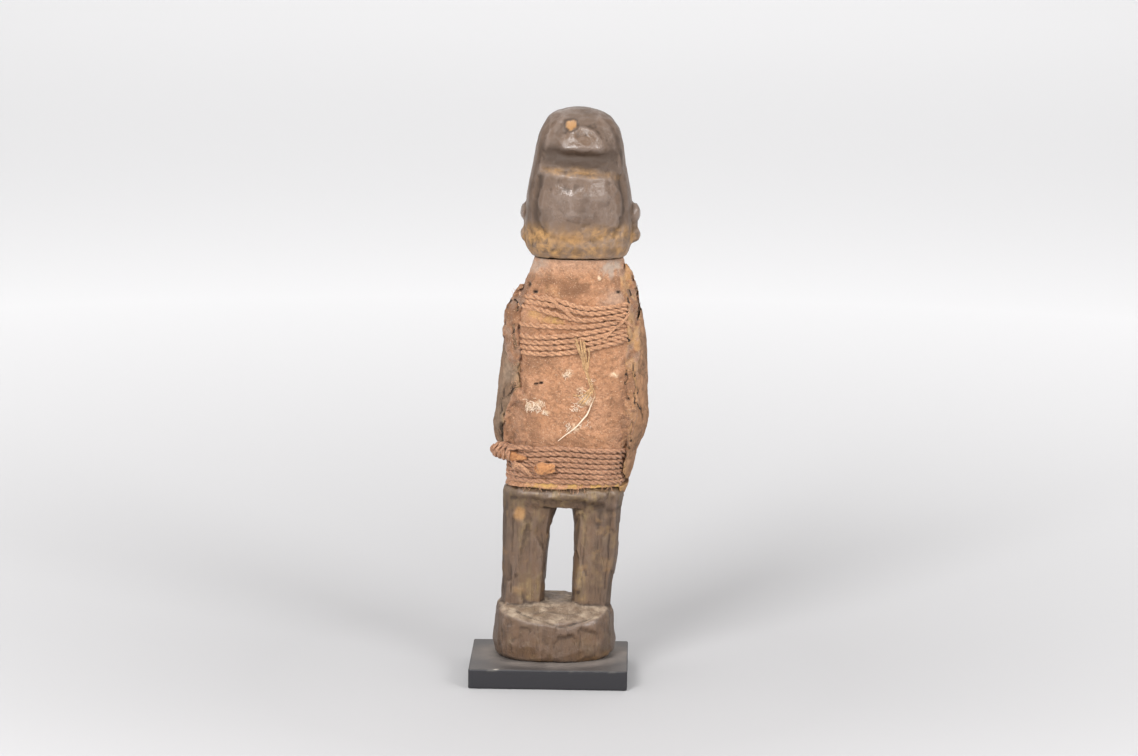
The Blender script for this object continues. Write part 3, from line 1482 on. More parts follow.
@dataclass
class ClothWrap:
    """The crusted cloth round the neck and trunk, as a sleeve with a worn hem."""

    columns: int = 300
    rows: int = 190
    inner_rows: int = 16
    wall: float = 1.9
    hem_wave: float = 0.9
    centre_y: float = 6.0
    probe: Probe = field(init=False)

    def __post_init__(self) -> None:
        """Read the solid that the sleeve stands for."""
        self.probe = Probe(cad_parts["wrapped_cloth"])
        low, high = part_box("wrapped_cloth")
        self.low, self.high = low.z / MM, high.z / MM

    def middle(self, height: Array) -> Array:
        """x of the trunk's middle at a height."""
        return np.interp(height, [80.0, 98.0, 125.0, 150.0, 180.0, 215.0], [6.5, 7.0, 9.3, 11.5, 12.0, 13.0])

    def sleeve(self, heights: Array) -> Array:
        """Find the solid's outside all round at each height.

        Args:
            heights: the rows' heights, in millimetres.

        Returns:
            Distance from the middle line, by row and column.
        """
        angles = np.arange(self.columns) * 2 * np.pi / self.columns
        reach = np.empty((len(heights), self.columns))
        for row, height in enumerate(heights):
            centre = (float(self.middle(height)), self.centre_y, float(height))
            for column, angle in enumerate(angles):
                out = (math.cos(angle), math.sin(angle), 0.0)
                found = self.probe.from_outside(centre, out)
                reach[row, column] = (found - Vector(centre)).length if found else np.nan
        return reach

    def build(self) -> Piece:
        """Make the sleeve.

        Returns:
            The piece, with its masks.
        """
        coarse = np.linspace(self.low + 0.05, self.high - 0.05, 60)
        reach = self.sleeve(coarse)
        for _ in range(12):
            reach = (np.roll(reach, 1, axis=1) + np.roll(reach, -1, axis=1) + 2 * reach) / 4
            padded = np.vstack([2 * reach[0] - reach[1], reach, 2 * reach[-1] - reach[-2]])
            reach = (padded[:-2] + padded[2:] + 2 * padded[1:-1]) / 4
        angles = np.arange(self.columns) * 2 * np.pi / self.columns
        fine = np.linspace(0.0, 1.0, self.rows)
        inner = np.linspace(1.0, 0.0, self.inner_rows)
        ring = np.column_stack([np.cos(angles), np.sin(angles), np.zeros_like(angles)])
        hem = self.low + self.hem_wave * (1.0 + rough(ring * 20.0, 9.0, 31, 4))
        layers = []
        for share, inset in [*((s, 0.0) for s in fine), *((s, self.wall) for s in inner)]:
            height = hem + share * (self.high - hem)
            row = np.clip((height - coarse[0]) / (coarse[1] - coarse[0]), 0, len(coarse) - 1.001)
            base = row.astype(int)
            part = row - base
            columns = np.arange(self.columns)
            out = reach[base, columns] * (1 - part) + reach[base + 1, columns] * part - inset
            layers.append(
                np.column_stack(
                    [self.middle(height) + out * ring[:, 0], self.centre_y + out * ring[:, 1], height]
                )
            )
        total = self.rows + self.inner_rows
        faces = grid_faces(total, self.columns)
        last = (total - 1) * self.columns
        nearby = (np.arange(self.columns) + 1) % self.columns
        faces += [[last + k, last + n, n, k] for k, n in enumerate(nearby)]
        skin = Skin(make_mesh("cloth_wrap", np.vstack(layers), faces))
        return self.work(skin)

    def work(self, skin: Skin) -> Piece:
        """Give the sleeve its lumps, dents, tears and stains.

        Args:
            skin: the plain sleeve.

        Returns:
            The piece, with its masks.
        """
        outside = np.zeros(len(skin.points))
        outside[: self.rows * self.columns] = 1.0
        points = skin.points.copy()
        x, y, z = points.T
        back = ramp(2.0, -4.0, y)
        lumps = 0.65 * rough(points, 9.0, 41, 4) + 0.42 * rough(points, 2.6, 45, 3)
        lumps *= 1.0 - 0.6 * ramp(9.0, 5.0, apart(points, (-7, -10, 129), (1, 0.2, 1)))
        lumps += 0.9 * ramp(18.0, 22.0, np.abs(x - 12.0)) * ramp(8.0, 0.0, y) * ramp(120.0, 128.0, z)
        edge = ramp(0.0, 1.5, self.high - z) * 0.8 + 0.2
        skin.push(outside * edge * (lumps - 0.15))
        holes = [
            ((-5.2, -10.7, 153.3), 1.5, 0.55), ((-7.4, -10, 152.6), 0.9, 0.6),
            ((-11.3, -3.3, 201.8), 1.3, 1.0)
        ]
        holes += [
            ((-8.7, -6.8, 199.3), 1.2, 0.9), ((32.8, -6.6, 199.3), 1.6, 0.7), ((-16.3, -5.1, 115.2), 1.3, 0.8)
        ]
        hole = np.zeros(len(points))
        for place, width, tall in holes:
            away = apart(points, place, (1.0, 0.4, 1.0 / tall))
            hole = np.maximum(hole, ramp(width, 0.5 * width, away + 0.6 * noise(points, 1.1, 3)))
        skin.push(-1.2 * hole * outside)
        tufts = [((-14.3, -6.6, 144.3), 3.4), ((-11.7, -8.2, 141), 3.0), ((-6.6, -10.2, 142), 3.2)]
        tufts += [((-3, -11.1, 138.2), 2.4), ((8, -12.3, 158.5), 2.6), ((14, -12.3, 150), 2.2)]
        tufts += [
            ((18.5, -12, 145), 4.0), ((31.5, -9, 158), 2.0), ((23.2, -8.8, 206.2), 1.2), ((12, -12, 131), 3.0)
        ]
        pale = np.zeros(len(points))
        for place, width in tufts:
            away = apart(points, place, (0.8, 0.3, 1.0))
            pale = np.maximum(pale, ramp(width, 0.2 * width, away + 1.3 * rough(points, 2.0, 51)))
        skin.push(0.35 * pale * outside * back)
        patch = rough(points, 11.0, 61)
        low = ramp(self.low + 7.5, self.low + 3.0, z)
        yellow = low * ramp(-0.2, 0.3, rough(points, 3.6, 64)) * ramp(-14.0, -8.0, x) * 0.85
        for place in ((-8.5, -8, 188), (-1.5, -10, 185.2), (3.6, -11, 184)):
            away = apart(points, place, (0.7, 0.3, 1.0))
            yellow += 0.38 * ramp(3.4, 0.6, away + 2.2 * rough(points, 2.0, 69))
        yellow += (
            0.6 * ramp(0.15, 0.6, rough(points, 6.0, 66)) * ramp(205.0, 190.0, z) * ramp(178.0, 184.0, z)
            * ramp(8.0, -4.0, x)
        )
        neck_grey = ramp(8.0, 3.0, apart(points, (29, -5.2, 211), (1, 0.4, 1.2)))
        shoulder = apart(points, (31.5, -8.5, 195.5), (0.8, 0.3, 1))
        shoulder = ramp(8.0, 1.0, shoulder + 3.0 * rough(points, 4.0, 63))
        left_neck = ramp(10.0, 3.0, apart(points, (-9, 0, 214), (1, 0.4, 1)))
        grey = (0.65 * neck_grey + 0.45 * left_neck) * ramp(-0.5, 0.3, rough(points, 2.5, 62))
        grey += 0.3 * shoulder + 0.15 * ramp(205.0, 214.0, z)
        brown = 0.55 * ramp(0.0, 0.6, patch) + 0.55 * ramp(0.1, 0.5, skin.hollowness(3) * 4.0)
        brown += 0.35 * ramp(-0.1, 0.5, rough(points, 4.0, 68)) * ramp(17.0, 23.0, np.abs(x - 12.0))
        brown += (
            0.75 * ramp(209.0, 205.0, z) * ramp(194.0, 201.0, z) * ramp(-0.6, 0.2, rough(points, 5.0, 67))
        )
        brown += 0.5 * ramp(self.high - 1.6, self.high - 0.2, z)
        return skin.finish(hole=hole, pale=0.9 * pale * back, ochre=yellow, grey=grey, brown=brown)


# Lashings


@dataclass
class Lashing:
    """A cord wound round the cloth in turns, each with its own height at five places behind."""

    name: str
    heights: list[tuple[float, ...]]
    stations: tuple[float, ...]
    front: tuple[float, float]
    radius: float = 1.28
    lay: float = 8.0
    sink: float = 0.35
    seed: int = 1
    loops: tuple[tuple[Point, ...], ...] = ()

    def path(self, wrap: ClothWrap) -> Array:
        """Follow the cord round the trunk.

        Args:
            wrap: the cloth that it lies on.

        Returns:
            Rows in millimetres.
        """
        steps = 72
        count = len(self.heights)
        rows = []
        cloth = Probe(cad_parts["wrapped_cloth"])
        for turn, heights in enumerate(self.heights):
            before = self.front[0] + (self.front[1] - self.front[0]) * turn / max(1, count - 1)
            after = (
                self.front[0] + (self.front[1] - self.front[0]) * min(turn + 1, count - 1) / max(1, count - 1)
            )
            angles = np.concatenate([[90.0], self.stations, [450.0]])
            levels = np.concatenate([[before], heights, [after]])
            for step in range(steps):
                angle = 90.0 + 360.0 * step / steps
                rows.append((angle, float(np.interp(angle, angles, levels))))
        turns = np.array(rows)
        level = turns[:, 1]
        for _ in range(5):
            level = evened(level)
        path = []
        for (angle, _), height in zip(turns, level):
            a = math.radians(angle)
            centre = (float(wrap.middle(height)), wrap.centre_y, float(height))
            out = (math.cos(a), math.sin(a), 0.0)
            found = cloth.from_outside(centre, out)
            reach = (found - Vector(centre)).length + self.radius - self.sink if found else 30.0
            path.append([centre[0] + reach * out[0], centre[1] + reach * out[1], height])
        way = np.array(path)
        way[:, :2] = np.apply_along_axis(evened, 0, way[:, :2])
        way += 0.12 * shake(way, 5.0, self.seed)
        return way

    def build(self, wrap: ClothWrap, looms: Looms, material: Material) -> Piece:
        """Twist the cord along its path.

        Args:
            wrap: the cloth that it lies on.
            looms: the shared trees.
            material: the cord's finish.

        Returns:
            The piece.
        """
        loops = [smooth_path(loop, 0.8) for loop in self.loops]
        host = curve_host(self.name + "_path", [self.path(wrap), *loops])
        return run_tree(
            host,
            looms.cord,
            self.name,
            Strands=2,
            Strand_Radius=0.57 * self.radius * MM,
            Lay_Radius=0.52 * self.radius * MM,
            Lay_Length=self.lay * MM,
            Step=0.7 * MM,
            Sides=8,
            Seed=self.seed,
            Material=material,
        )


CHEST_STATIONS = (190.0, 222.0, 250.0, 275.0, 300.0, 332.0, 350.0)
CHEST_HEIGHTS = [
    (196.4, 196.6, 195.0, 191.6, 191.4, 193.0, 193.6),
    (194.0, 194.0, 192.2, 189.0, 188.8, 190.6, 191.2),
    (191.9, 190.8, 187.4, 185.4, 185.8, 188.1, 188.8),
    (182.0, 182.2, 182.3, 182.0, 182.9, 185.3, 186.4),
    (176.2, 176.3, 177.6, 178.4, 180.1, 182.8, 183.9),
    (173.5, 173.5, 174.6, 175.6, 177.3, 180.0, 181.2),
    (170.8, 170.7, 171.8, 172.8, 174.6, 177.4, 178.6),
    (168.2, 167.9, 168.8, 169.9, 172.0, 175.2, 176.4),
]
WAIST_STATIONS = (186.0, 215.0, 245.0, 270.0, 300.0, 330.0, 352.0)
WAIST_HEIGHTS = [
    (116.8, 118.6, 120.2, 120.0, 119.3, 118.2, 116.8),
    (114.4, 116.2, 117.6, 117.3, 116.5, 115.4, 114.2),
    (112.0, 113.0, 114.6, 114.4, 113.7, 112.7, 111.6),
    (109.9, 110.6, 111.8, 111.6, 110.9, 110.0, 109.0),
    (107.6, 108.2, 109.0, 108.8, 108.2, 107.3, 106.4),
    (105.2, 105.6, 106.0, 106.0, 105.5, 104.6, 103.8),
    (102.8, 103.0, 103.1, 103.1, 102.8, 102.0, 101.2),
]


@dataclass(frozen=True)
class WaistKnot:
    """The end of the waist cord, wrapped over a lump of hide on the left flank."""

    axis: tuple[Point, ...] = (
        (-28.4, 1.2, 117), (-25.8, -1.6, 117), (-22.4, -4.6, 116.6), (-19.2, -6.8, 116.2)
    )
    reach: tuple[float, float] = (3.9, 3.3)
    wraps: float = 4.6

    def wrap(self) -> tuple[Point, ...]:
        """Wind the cord round the axis.

        Returns:
            The points of the wound cord and its short tail.
        """
        line = smooth_path(self.axis, 0.25)
        along = np.gradient(line, axis=0)
        along /= np.linalg.norm(along, axis=1)[:, None]
        side = np.cross(along, (0.0, 0.0, 1.0))
        up = np.cross(side, along)
        share = np.linspace(0.0, 1.0, len(line))[:, None]
        reach = (self.reach[0] + (self.reach[1] - self.reach[0]) * share) * (1.0 - 0.45 * (1.0 - share) ** 4)
        turn = 2 * np.pi * self.wraps * share
        wound = line + reach * (np.cos(turn) * up + np.sin(turn) * side)
        return tuple(map(tuple, wound[::2]))

    def lines(self) -> tuple[tuple[Point, ...], ...]:
        """List the cord's lines.

        Returns:
            The wrap, a tail and the cord that comes in.
        """
        tail = ((-19.6, -7.6, 113.4), (-17, -8.8, 110.6), (-13, -10.2, 108), (-9, -11, 105.6))
        lead = ((-9, -10.8, 119.6), (-14, -9.8, 120), (-18, -8.6, 119.8), (-21.6, -7.2, 118.4))
        return self.wrap(), tail, lead


# Packet


@dataclass
class Packet:
    """The hard packet over the front and flanks, cracked and broken at its edges."""

    voxel: float = 0.8

    def build(self) -> Piece:
        """Make the packet.

        Returns:
            The piece, with its masks.
        """
        skin = Skin(remeshed("packet", "packet_shell", self.voxel))
        skin.relax(6)
        solid = skin.points.copy()
        x, y = solid.T[:2]
        skin.push(0.65 * rough(solid, 13.0, 71, 3) + 0.40 * rough(solid, 3.6, 75, 4) - 0.15)
        cracks = [
            [
                (-17.6, -4.2, 168.8), (-17.7, -5, 162.7), (-18.2, -7, 160), (-17.6, -6, 155.3),
                (-19.8, -7, 149)
            ],
            [(-19.8, -7, 149), (-22.6, -5.4, 143.5)],
            [(-24.3, -3, 149.1), (-25.5, -2.4, 142.8), (-26.5, -2, 136)],
            [(41, 3, 162), (41.8, 0.5, 157.1), (42.6, -3, 154.2), (42, -2, 147), (42.8, -3, 142.4)],
            [(42.8, -3, 142.4), (45, -3.5, 140), (46.7, -1.8, 134.7)],
            [(40.4, -1, 138.6), (40, -2, 131.6), (39.8, -2, 128.4), (40.8, -4, 122.7)],
        ]
        shell = Probe(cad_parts["packet"])
        for route in (
            [(24, 166), (19, 156), (21, 146), (14, 137), (17, 126), (10, 117)],
            [(-6, 176), (-2, 166), (-5, 156), (-1, 147)],
            [(36, 128), (31, 118), (33, 108)],
            [(19, 156), (29, 151), (34, 143)],
        ):
            cracks.append([tuple(shell.before(a, b)) for a, b in route])
        crack = np.zeros(len(solid))
        wander = solid + 0.7 * shake(solid, 2.5, 80)
        for path in cracks:
            crack = np.maximum(crack, np.exp(-((path_distance(wander, path) / 0.55) ** 2)))
        skin.push(-0.9 * crack)
        inward = -skin.normals()[:, 0] * np.sign(x - 9.0)
        rim = skin.soften(ramp(0.3, 0.8, inward) * ramp(22.0, 27.0, np.abs(x - 9.0)) * ramp(8.0, 2.0, y), 9)
        ragged = np.clip(1.6 * rim, 0.0, 1.0) * (0.65 + 0.5 * rough(solid, 2.4, 85))
        skin.points += np.column_stack([-2.6 * ragged * np.sign(x - 9.0), -1.3 * ragged, 0.0 * ragged])
        pit = apart(solid, (-26, -3, 126.5), (1, 0.35, 0.38))
        pit = ramp(2.6, 1.2, pit + 0.5 * noise(solid, 1.5, 90))
        skin.push(-1.6 * pit)
        inside = ramp(3.4, 1.2, self.depth(solid))
        patch = rough(solid, 16.0, 95)
        broken = np.maximum(inside * ramp(12.0, 0.0, y), rim) * (0.45 + 0.55 * ramp(-0.3, 0.4, patch))
        red = ramp(5.0, 30.0, x) * 0.75 + 0.35 * ramp(0.0, 0.6, patch)
        return skin.finish(
            crack=np.maximum(0.85 * ramp(0.3, 0.8, crack), 0.9 * pit), broken=0.75 * broken, red=red
        )

    def depth(self, points: Array) -> Array:
        """Measure how far points are from the cloth under the packet."""
        cloth = Probe(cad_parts["wrapped_cloth"])
        return np.array([cloth.tree.find_nearest(Vector(p))[3] for p in points])


@dataclass(frozen=True)
class FlankCrust:
    """Dried earth on a flank, over the ends of the cords and the seam between cloth and packet."""

    name: str
    edges: tuple[tuple[float, float, float], ...]
    cracks: tuple[tuple[tuple[float, float], ...], ...]
    ochre: float = 0.0
    dirt: float = 0.3
    seed: int = 1
    step: float = 0.5
    columns: int = 26
    thick: float = 0.9

    def build(self, surface: Probe) -> Piece:
        """Lay the crust on what is under it.

        Args:
            surface: the pieces that it lies on.

        Returns:
            The piece, with its masks.
        """
        levels, low, high = np.array(self.edges).T
        heights = np.arange(levels[0], levels[-1], self.step)
        share = np.linspace(0.0, 1.0, self.columns)
        wander = np.outer(heights, (0.0, 0.0, 1.0))
        left = np.interp(heights, levels, low) + 1.5 * rough(wander, 5.0, self.seed, 4)
        right = np.interp(heights, levels, high) + 1.5 * rough(wander, 5.0, self.seed + 5, 4)
        x = left[:, None] + (right - left)[:, None] * share
        z = np.repeat(heights[:, None], self.columns, axis=1)
        under = np.array([[surface.behind(a, b).y for a, b in zip(*row)] for row in zip(x, z)])
        bridge = self.spread(self.spread(under, 5, np.minimum), 5, np.maximum)
        for _ in range(4):
            padded = np.pad(bridge, 1, mode="edge")
            bridge = (padded[:-2, 1:-1] + padded[2:, 1:-1] + padded[1:-1, :-2] + padded[1:-1, 2:]) / 4
        ends = np.minimum(z - heights[0], heights[-1] - z) / 5.0
        middle = np.minimum(share * (1.0 - share) * 7.0, 1.0) * np.clip(ends, 0.0, 1.0)
        places = np.stack([x, bridge, z], axis=-1).reshape(-1, 3)
        lumps = 0.8 * rough(places, 5.0, self.seed + 9, 4) + 0.4 * rough(places, 1.8, self.seed + 13)
        lumps = (lumps + 0.5 * rough(places, 2.6, self.seed + 17)).reshape(x.shape)
        front = bridge * middle + under * (1.0 - middle) - self.thick * (2.0 * middle - 1.0) - lumps * middle
        behind = np.maximum(front, under) + 1.2
        rings = np.stack(
            [np.hstack([x, x[:, ::-1]]), np.hstack([front, behind[:, ::-1]]), np.hstack([z, z])], axis=-1
        )
        wide = 2 * self.columns
        faces = grid_faces(len(heights), wide)
        last = (len(heights) - 1) * wide
        faces += [list(range(wide))[::-1], list(range(last, last + wide))]
        skin = Skin(make_mesh(self.name, rings.reshape(-1, 3), faces))
        hole = np.zeros(len(skin.points))
        bent = (skin.points + 0.8 * shake(skin.points, 3.0, self.seed)) * (1.0, 0.0, 1.0)
        for route in self.cracks:
            flat = np.array([(a, 0.0, b) for a, b in route])
            hole = np.maximum(hole, np.exp(-((path_distance(bent, flat) / 0.62) ** 2)))
        skin.push(-1.1 * hole)
        skin.relax(1)
        patch = rough(skin.points, 6.0, self.seed + 20, 4)
        fine = rough(skin.points, 2.6, self.seed + 25)
        dirt = self.dirt + 0.35 * ramp(-0.3, 0.6, patch) + 0.6 * ramp(0.02, 0.2, skin.hollowness(3))
        dirt += 0.3 * ramp(0.0, 0.5, fine)
        high = ramp(150.0, 170.0, skin.points[:, 2])
        tan = self.ochre * ramp(0.4, -0.4, patch + fine) * (0.4 + 0.6 * high)
        grey = 0.2 * ramp(-0.2, 0.6, rough(skin.points, 4.0, self.seed + 30)) * (0.3 + 0.7 * high)
        return skin.finish(hole=ramp(0.3, 0.75, hole), ochre=tan, grey=grey, brown=dirt)

    def spread(self, values: Array, reach: int, pick: Callable) -> Array:
        """Take the least or greatest of a grid's neighbours, a few times.

        Args:
            values: the grid.
            reach: how often.
            pick: np.minimum or np.maximum.

        Returns:
            The new grid.
        """
        for _ in range(reach):
            padded = np.pad(values, 1, mode="edge")
            values = pick(
                pick(padded[:-2, 1:-1], padded[2:, 1:-1]), pick(padded[1:-1, :-2], padded[1:-1, 2:])
            )
        return values


FLANKS = (
    FlankCrust(
        "left_shoulder_crust",
        ((160, -20.5, -16.4), (168, -23.6, -14.4), (176, -24.8, -15.6), (188, -24.2, -14.6),
         (196, -20.6, -13.6), (202, -16, -11.5)),
        (((-19, 170), (-19.4, 176), (-20.2, 181)), ((-17.4, 189), (-16.6, 192.5), (-19, 194))),
        dirt=0.62,
        seed=201,
    ),
    FlankCrust(
        "left_flank_crust",
        ((113, -24, -14), (120, -26.2, -12), (130, -25.8, -12), (139, -24.6, -12), (146, -21.6, -13),
         (153.0, -18.0, -13.5)),
        (((-17, 152), (-19.4, 148.6), (-22.4, 143.6), (-24, 138.4), (-25, 131), (-25.2, 123),
          (-24.6, 117.0)),),
        seed=231,
    ),
    FlankCrust(
        "right_flank_crust",
        ((110, 35, 38.6), (122, 34.5, 40.5), (132, 35, 42.5), (140, 35.5, 45.4), (150, 35.5, 44),
         (160, 35.5, 43.4), (168, 36, 44.6), (180, 36.5, 45), (190, 36.5, 44), (200, 34.5, 42.6),
         (208, 33.5, 40), (213, 33, 37)),
        (
            ((41.4, 163), (41, 156.5), (42.9, 148.8), (42.1, 143.7), (44.6, 138.6)),
            ((37.9, 159), (37.6, 151), (38.2, 145)),
            ((40.8, 133), (39.8, 128), (39.6, 123.5)),
            ((37.6, 195.5), (37.9, 191), (37.2, 186.5)),
            ((38.6, 199.4), (39.4, 196.6)),
            ((37.8, 176.8), (38.8, 175), (40, 175.6)),
            ((42.6, 188.4), (43.1, 185.2)),
        ),
        ochre=0.28,
        seed=261,
    ),
)


# Small trims


def tube(path: Array, radii: Array, sides: int, flat: float = 1.0) -> tuple[Array, list[list[int]]]:
    """Make a closed tube along a path.

    Args:
        path: rows in millimetres.
        radii: the tube's radius at each row.
        sides: corners of its section.
        flat: thickness of the section against its width.

    Returns:
        Points and faces.
    """
    along = np.gradient(path, axis=0)
    along /= np.linalg.norm(along, axis=1)[:, None]
    side = np.cross(along, (0.0, 1.0, 0.0))
    side /= np.maximum(np.linalg.norm(side, axis=1), 1e-6)[:, None]
    other = np.cross(side, along)
    turns = np.arange(sides) * 2 * np.pi / sides
    wide = radii[:, None, None]
    rings = path[:, None, :] + wide * (np.cos(turns)[None, :, None] * side[:, None, :])
    rings = rings + flat * wide * (np.sin(turns)[None, :, None] * other[:, None, :])
    points = np.vstack([rings.reshape(-1, 3), path[0], path[-1]])
    faces = grid_faces(len(path), sides)
    last = (len(path) - 1) * sides
    start, end = len(points) - 2, len(points) - 1
    faces += [[start, (k + 1) % sides, k] for k in range(sides)]
    faces += [[end, last + k, last + (k + 1) % sides] for k in range(sides)]
    return points, faces


STRAND_ROUTE = (
    (49, 566), (50, 556), (53, 539), (60, 523), (65, 506), (70, 493), (67, 482),
    (63, 472), (56, 455), (48, 445), (40, 435), (29, 425), (17, 416), (4, 405),
)


@dataclass
class Trims:
    """The scrap of hide, the loose strand, the ties and the frayed fibres, laid on a surface."""

    surface: Probe
    unit: float = 0.28
    strand_thick: float = 1.2
    strand_wide: float = 0.8
    seed: int = 7

    def lay(self, route: Sequence[tuple[float, float]], lift: float) -> Array:
        """Lay a line on the figure's back.

        Args:
            route: x and z of its points.
            lift: how far it stands off the surface.

        Returns:
            Rows in millimetres.
        """
        flat = smooth_path([(x, 0.0, z) for x, z in route], 0.8)
        around = [(a, b) for a in (-0.7, 0, 0.7) for b in (-0.9, 0, 0.9)]
        level = np.array([min(self.surface.behind(x + a, z + b).y for a, b in around) for x, _, z in flat])
        level = np.convolve(np.pad(level, 2, mode="edge"), np.ones(5) / 5, mode="valid")
        return np.column_stack([flat[:, 0], level - lift, flat[:, 2]])

    def strand_path(self) -> Array:
        """Repeat the loose strand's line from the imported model.

        Returns:
            Rows in millimetres.
        """
        low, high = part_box("loose_strand")
        thick = self.strand_thick / 2
        shift_x = low.x / MM + thick - min(x for x, _ in STRAND_ROUTE) * self.unit
        shift_z = high.z / MM - thick * 0.1 - STRAND_ROUTE[0][1] * self.unit
        cloth = Probe(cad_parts["wrapped_cloth"])
        points = []
        for x, z in STRAND_ROUTE:
            place = x * self.unit + shift_x, z * self.unit + shift_z
            points.append((place[0], cloth.behind(*place).y - thick - 0.2, place[1]))
        return smooth_path(points, 0.8)

    def strand(self, material: Material) -> Piece:
        """Make the loose strand, a frayed strip of bast that thins to a thread.

        Args:
            material: its finish.

        Returns:
            The piece, declared as a cord.
        """
        path = self.strand_path()
        share = np.linspace(0.0, 1.0, len(path))
        taper = np.interp(share, (0.0, 0.35, 0.5, 0.62, 0.8, 1.0), (0.5, 0.42, 0.6, 1.0, 0.85, 0.4))
        radii = self.strand_wide / 2 * (1.0 + 0.15 * rough(path, 2.0, 101)) * taper
        points, faces = tube(path, radii, 12, 0.8)
        piece = make_mesh("loose_strand_fibre", points, faces)
        bleach = np.concatenate([np.repeat(ramp(0.35, 0.6, share), 12), [0.0, 1.0]])
        Skin(piece).finish(bleach=0.9 * bleach)
        settle(piece, Slot.FIBRE, material, "loose_strand")
        return piece

    def bundle(self, name: str, lines: Sequence[Array], count: int, spread: float, thick: float) -> Piece:
        """Make a loose bundle of flat fibres along lines.

        Args:
            name: the piece's name.
            lines: rows of x, y, z, one array for each bundle.
            count: fibres in each bundle.
            spread: how far they part.
            thick: half a fibre's width.

        Returns:
            The piece.
        """
        random = np.random.default_rng(self.seed + len(name))
        all_points: list[Array] = []
        all_faces: list[list[int]] = []
        first = 0
        for line in lines:
            for _ in range(count):
                start = random.integers(0, max(1, len(line) // 7))
                end = len(line) - random.integers(0, max(1, len(line) // 4))
                own = line[start:end].copy()
                share = np.linspace(-1.0, 1.0, len(own))[:, None]
                own += random.normal(0.0, spread, 3) * (1.0, 0.25, 1.0) * (0.35 + 0.65 * share**2)
                own += 0.22 * shake(own + start * 9.0, 3.0, 0)
                radii = thick * random.uniform(0.6, 1.2) * (1.02 - 0.6 * np.abs(share[:, 0]) ** 3)
                points, faces = tube(own, radii, 6, 0.5)
                all_points.append(points)
                all_faces += [[first + index for index in face] for face in faces]
                first += len(points)
        piece = make_mesh(name, np.vstack(all_points), all_faces)
        piece.data.shade_smooth()
        return piece

    def ties(self, straw: Material, cord: Material) -> None:
        """Make the raffia tie on the chest lashing and the frayed cord ends.

        Args:
            straw: the tie's finish.
            cord: the frayed ends' finish.
        """
        tie = [
            [(12.2, 176.6), (13.8, 172), (15.2, 167.4), (16.4, 163.6), (17.2, 160.3)],
            [(14.2, 177.2), (15.2, 172), (16, 167), (16.8, 163), (17.4, 160)],
            [(16, 175.6), (16.6, 171), (17.1, 167), (17.3, 163), (17.6, 159.6)],
            [(18.8, 172), (18.8, 167.6), (18.6, 164.2), (17.8, 160.4)],
            [(16.6, 163), (17.4, 159.4), (18.4, 156.4), (19.4, 153.4), (20.4, 150), (20.8, 147)],
            [(20.6, 153.6), (19, 150.6), (16.4, 148.4), (13, 147.4), (11, 148.4)],
            [(20.8, 152.4), (18.4, 148.8), (16.2, 146), (13.8, 143.4)],
            [(20.8, 150.8), (18.6, 147), (16.8, 144.4), (14.8, 142.2)],
        ]
        made = self.bundle("raffia_tie", [self.lay(route, 0.35) for route in tie], 7, 0.42, 0.30)
        settle(made, Slot.FIBRE, straw)
        ends = [
            [(-3.8, 198.2), (0.8, 195.2), (5.6, 191.6), (11.6, 186.6)],
            [(27, 186.5), (32.5, 186.8), (37, 184.6), (41, 180.2)],
            [(25, 176.4), (30, 180.5), (35.5, 185), (38.5, 189.6)],
            [(-19.5, 110.5), (-16, 111.5), (-12, 108.8), (-9, 106)],
        ]
        made = self.bundle("frayed_ends", [self.lay(route, 0.15) for route in ends], 12, 0.7, 0.30)
        settle(made, Slot.CORD, cord)

    def lump(self, material: Material) -> Piece:
        """Make the lump of hide that the waist knot is tied round.

        Args:
            material: its finish.

        Returns:
            The piece.
        """
        route = [
            (-29.6, 1.8, 116.8), (-26, -1.6, 116.4), (-22, -5, 115.6), (-17.4, -7.8, 114.6),
            (-12, -9.8, 114.4)
        ]
        line = smooth_path(route, 0.35)
        share = np.linspace(0.0, 1.0, len(line))
        radii = 0.25 + 3.9 * np.sin(np.pi * share) ** 0.5 * (1.0 - 0.6 * share)
        skin = Skin(make_mesh("knot_hide", *tube(line, radii, 30)))
        skin.push(0.8 * rough(skin.points, 3.0, 131, 4))
        return settle(skin.finish(hollow=ramp(0.0, 0.12, skin.hollowness(4))), Slot.HIDE, material)

    def scrap(self, material: Material) -> Piece:
        """Make the folded scrap of hide over the waist lashing.

        Args:
            material: its finish.

        Returns:
            The piece.
        """
        skin = Skin(remeshed("tucked_scrap", "hide_scrap", 0.28))
        skin.relax(3)
        skin.stroke([(-7.4, -15, 110.9), (-3, -15, 108.6), (3, -15, 110.4)], 0.8, 0.9)
        skin.stroke([(-6.4, -15, 106.9), (-1, -15, 106.6), (3, -15, 108)], 0.6, 0.6)
        skin.push(0.9 * rough(skin.points, 3.4, 111, 4))
        return settle(
            skin.finish(hollow=ramp(0.0, 0.1, skin.hollowness(4))), Slot.HIDE, material, "tucked_scrap"
        )

    def fibres(self, looms: Looms, pale: Material, cord: Material) -> None:
        """Grow the pale tufts, the fuzz on the cords and cloth, and the frayed hem.

        Args:
            looms: the shared trees.
            pale: the tufts' finish.
            cord: the finish of the fuzz and the hem.
        """
        random = np.random.default_rng(self.seed)
        tufts: list[tuple[Point, Point, float]] = []
        fuzz: list[tuple[Point, Point, float]] = []

        def grow(kind: list, x: float, z: float, comb: Point, reach: float, lift: float = 0.15) -> None:
            """Add one fibre behind."""
            at = self.surface.behind(x, z)
            kind.append(((at.x, at.y - lift, at.z), comb, reach))

        def any_way(out: float) -> Point:
            """Point across the surface, a little outwards."""
            turn = random.uniform(0.0, 2 * math.pi)
            return math.cos(turn), -random.uniform(0.0, out), math.sin(turn)

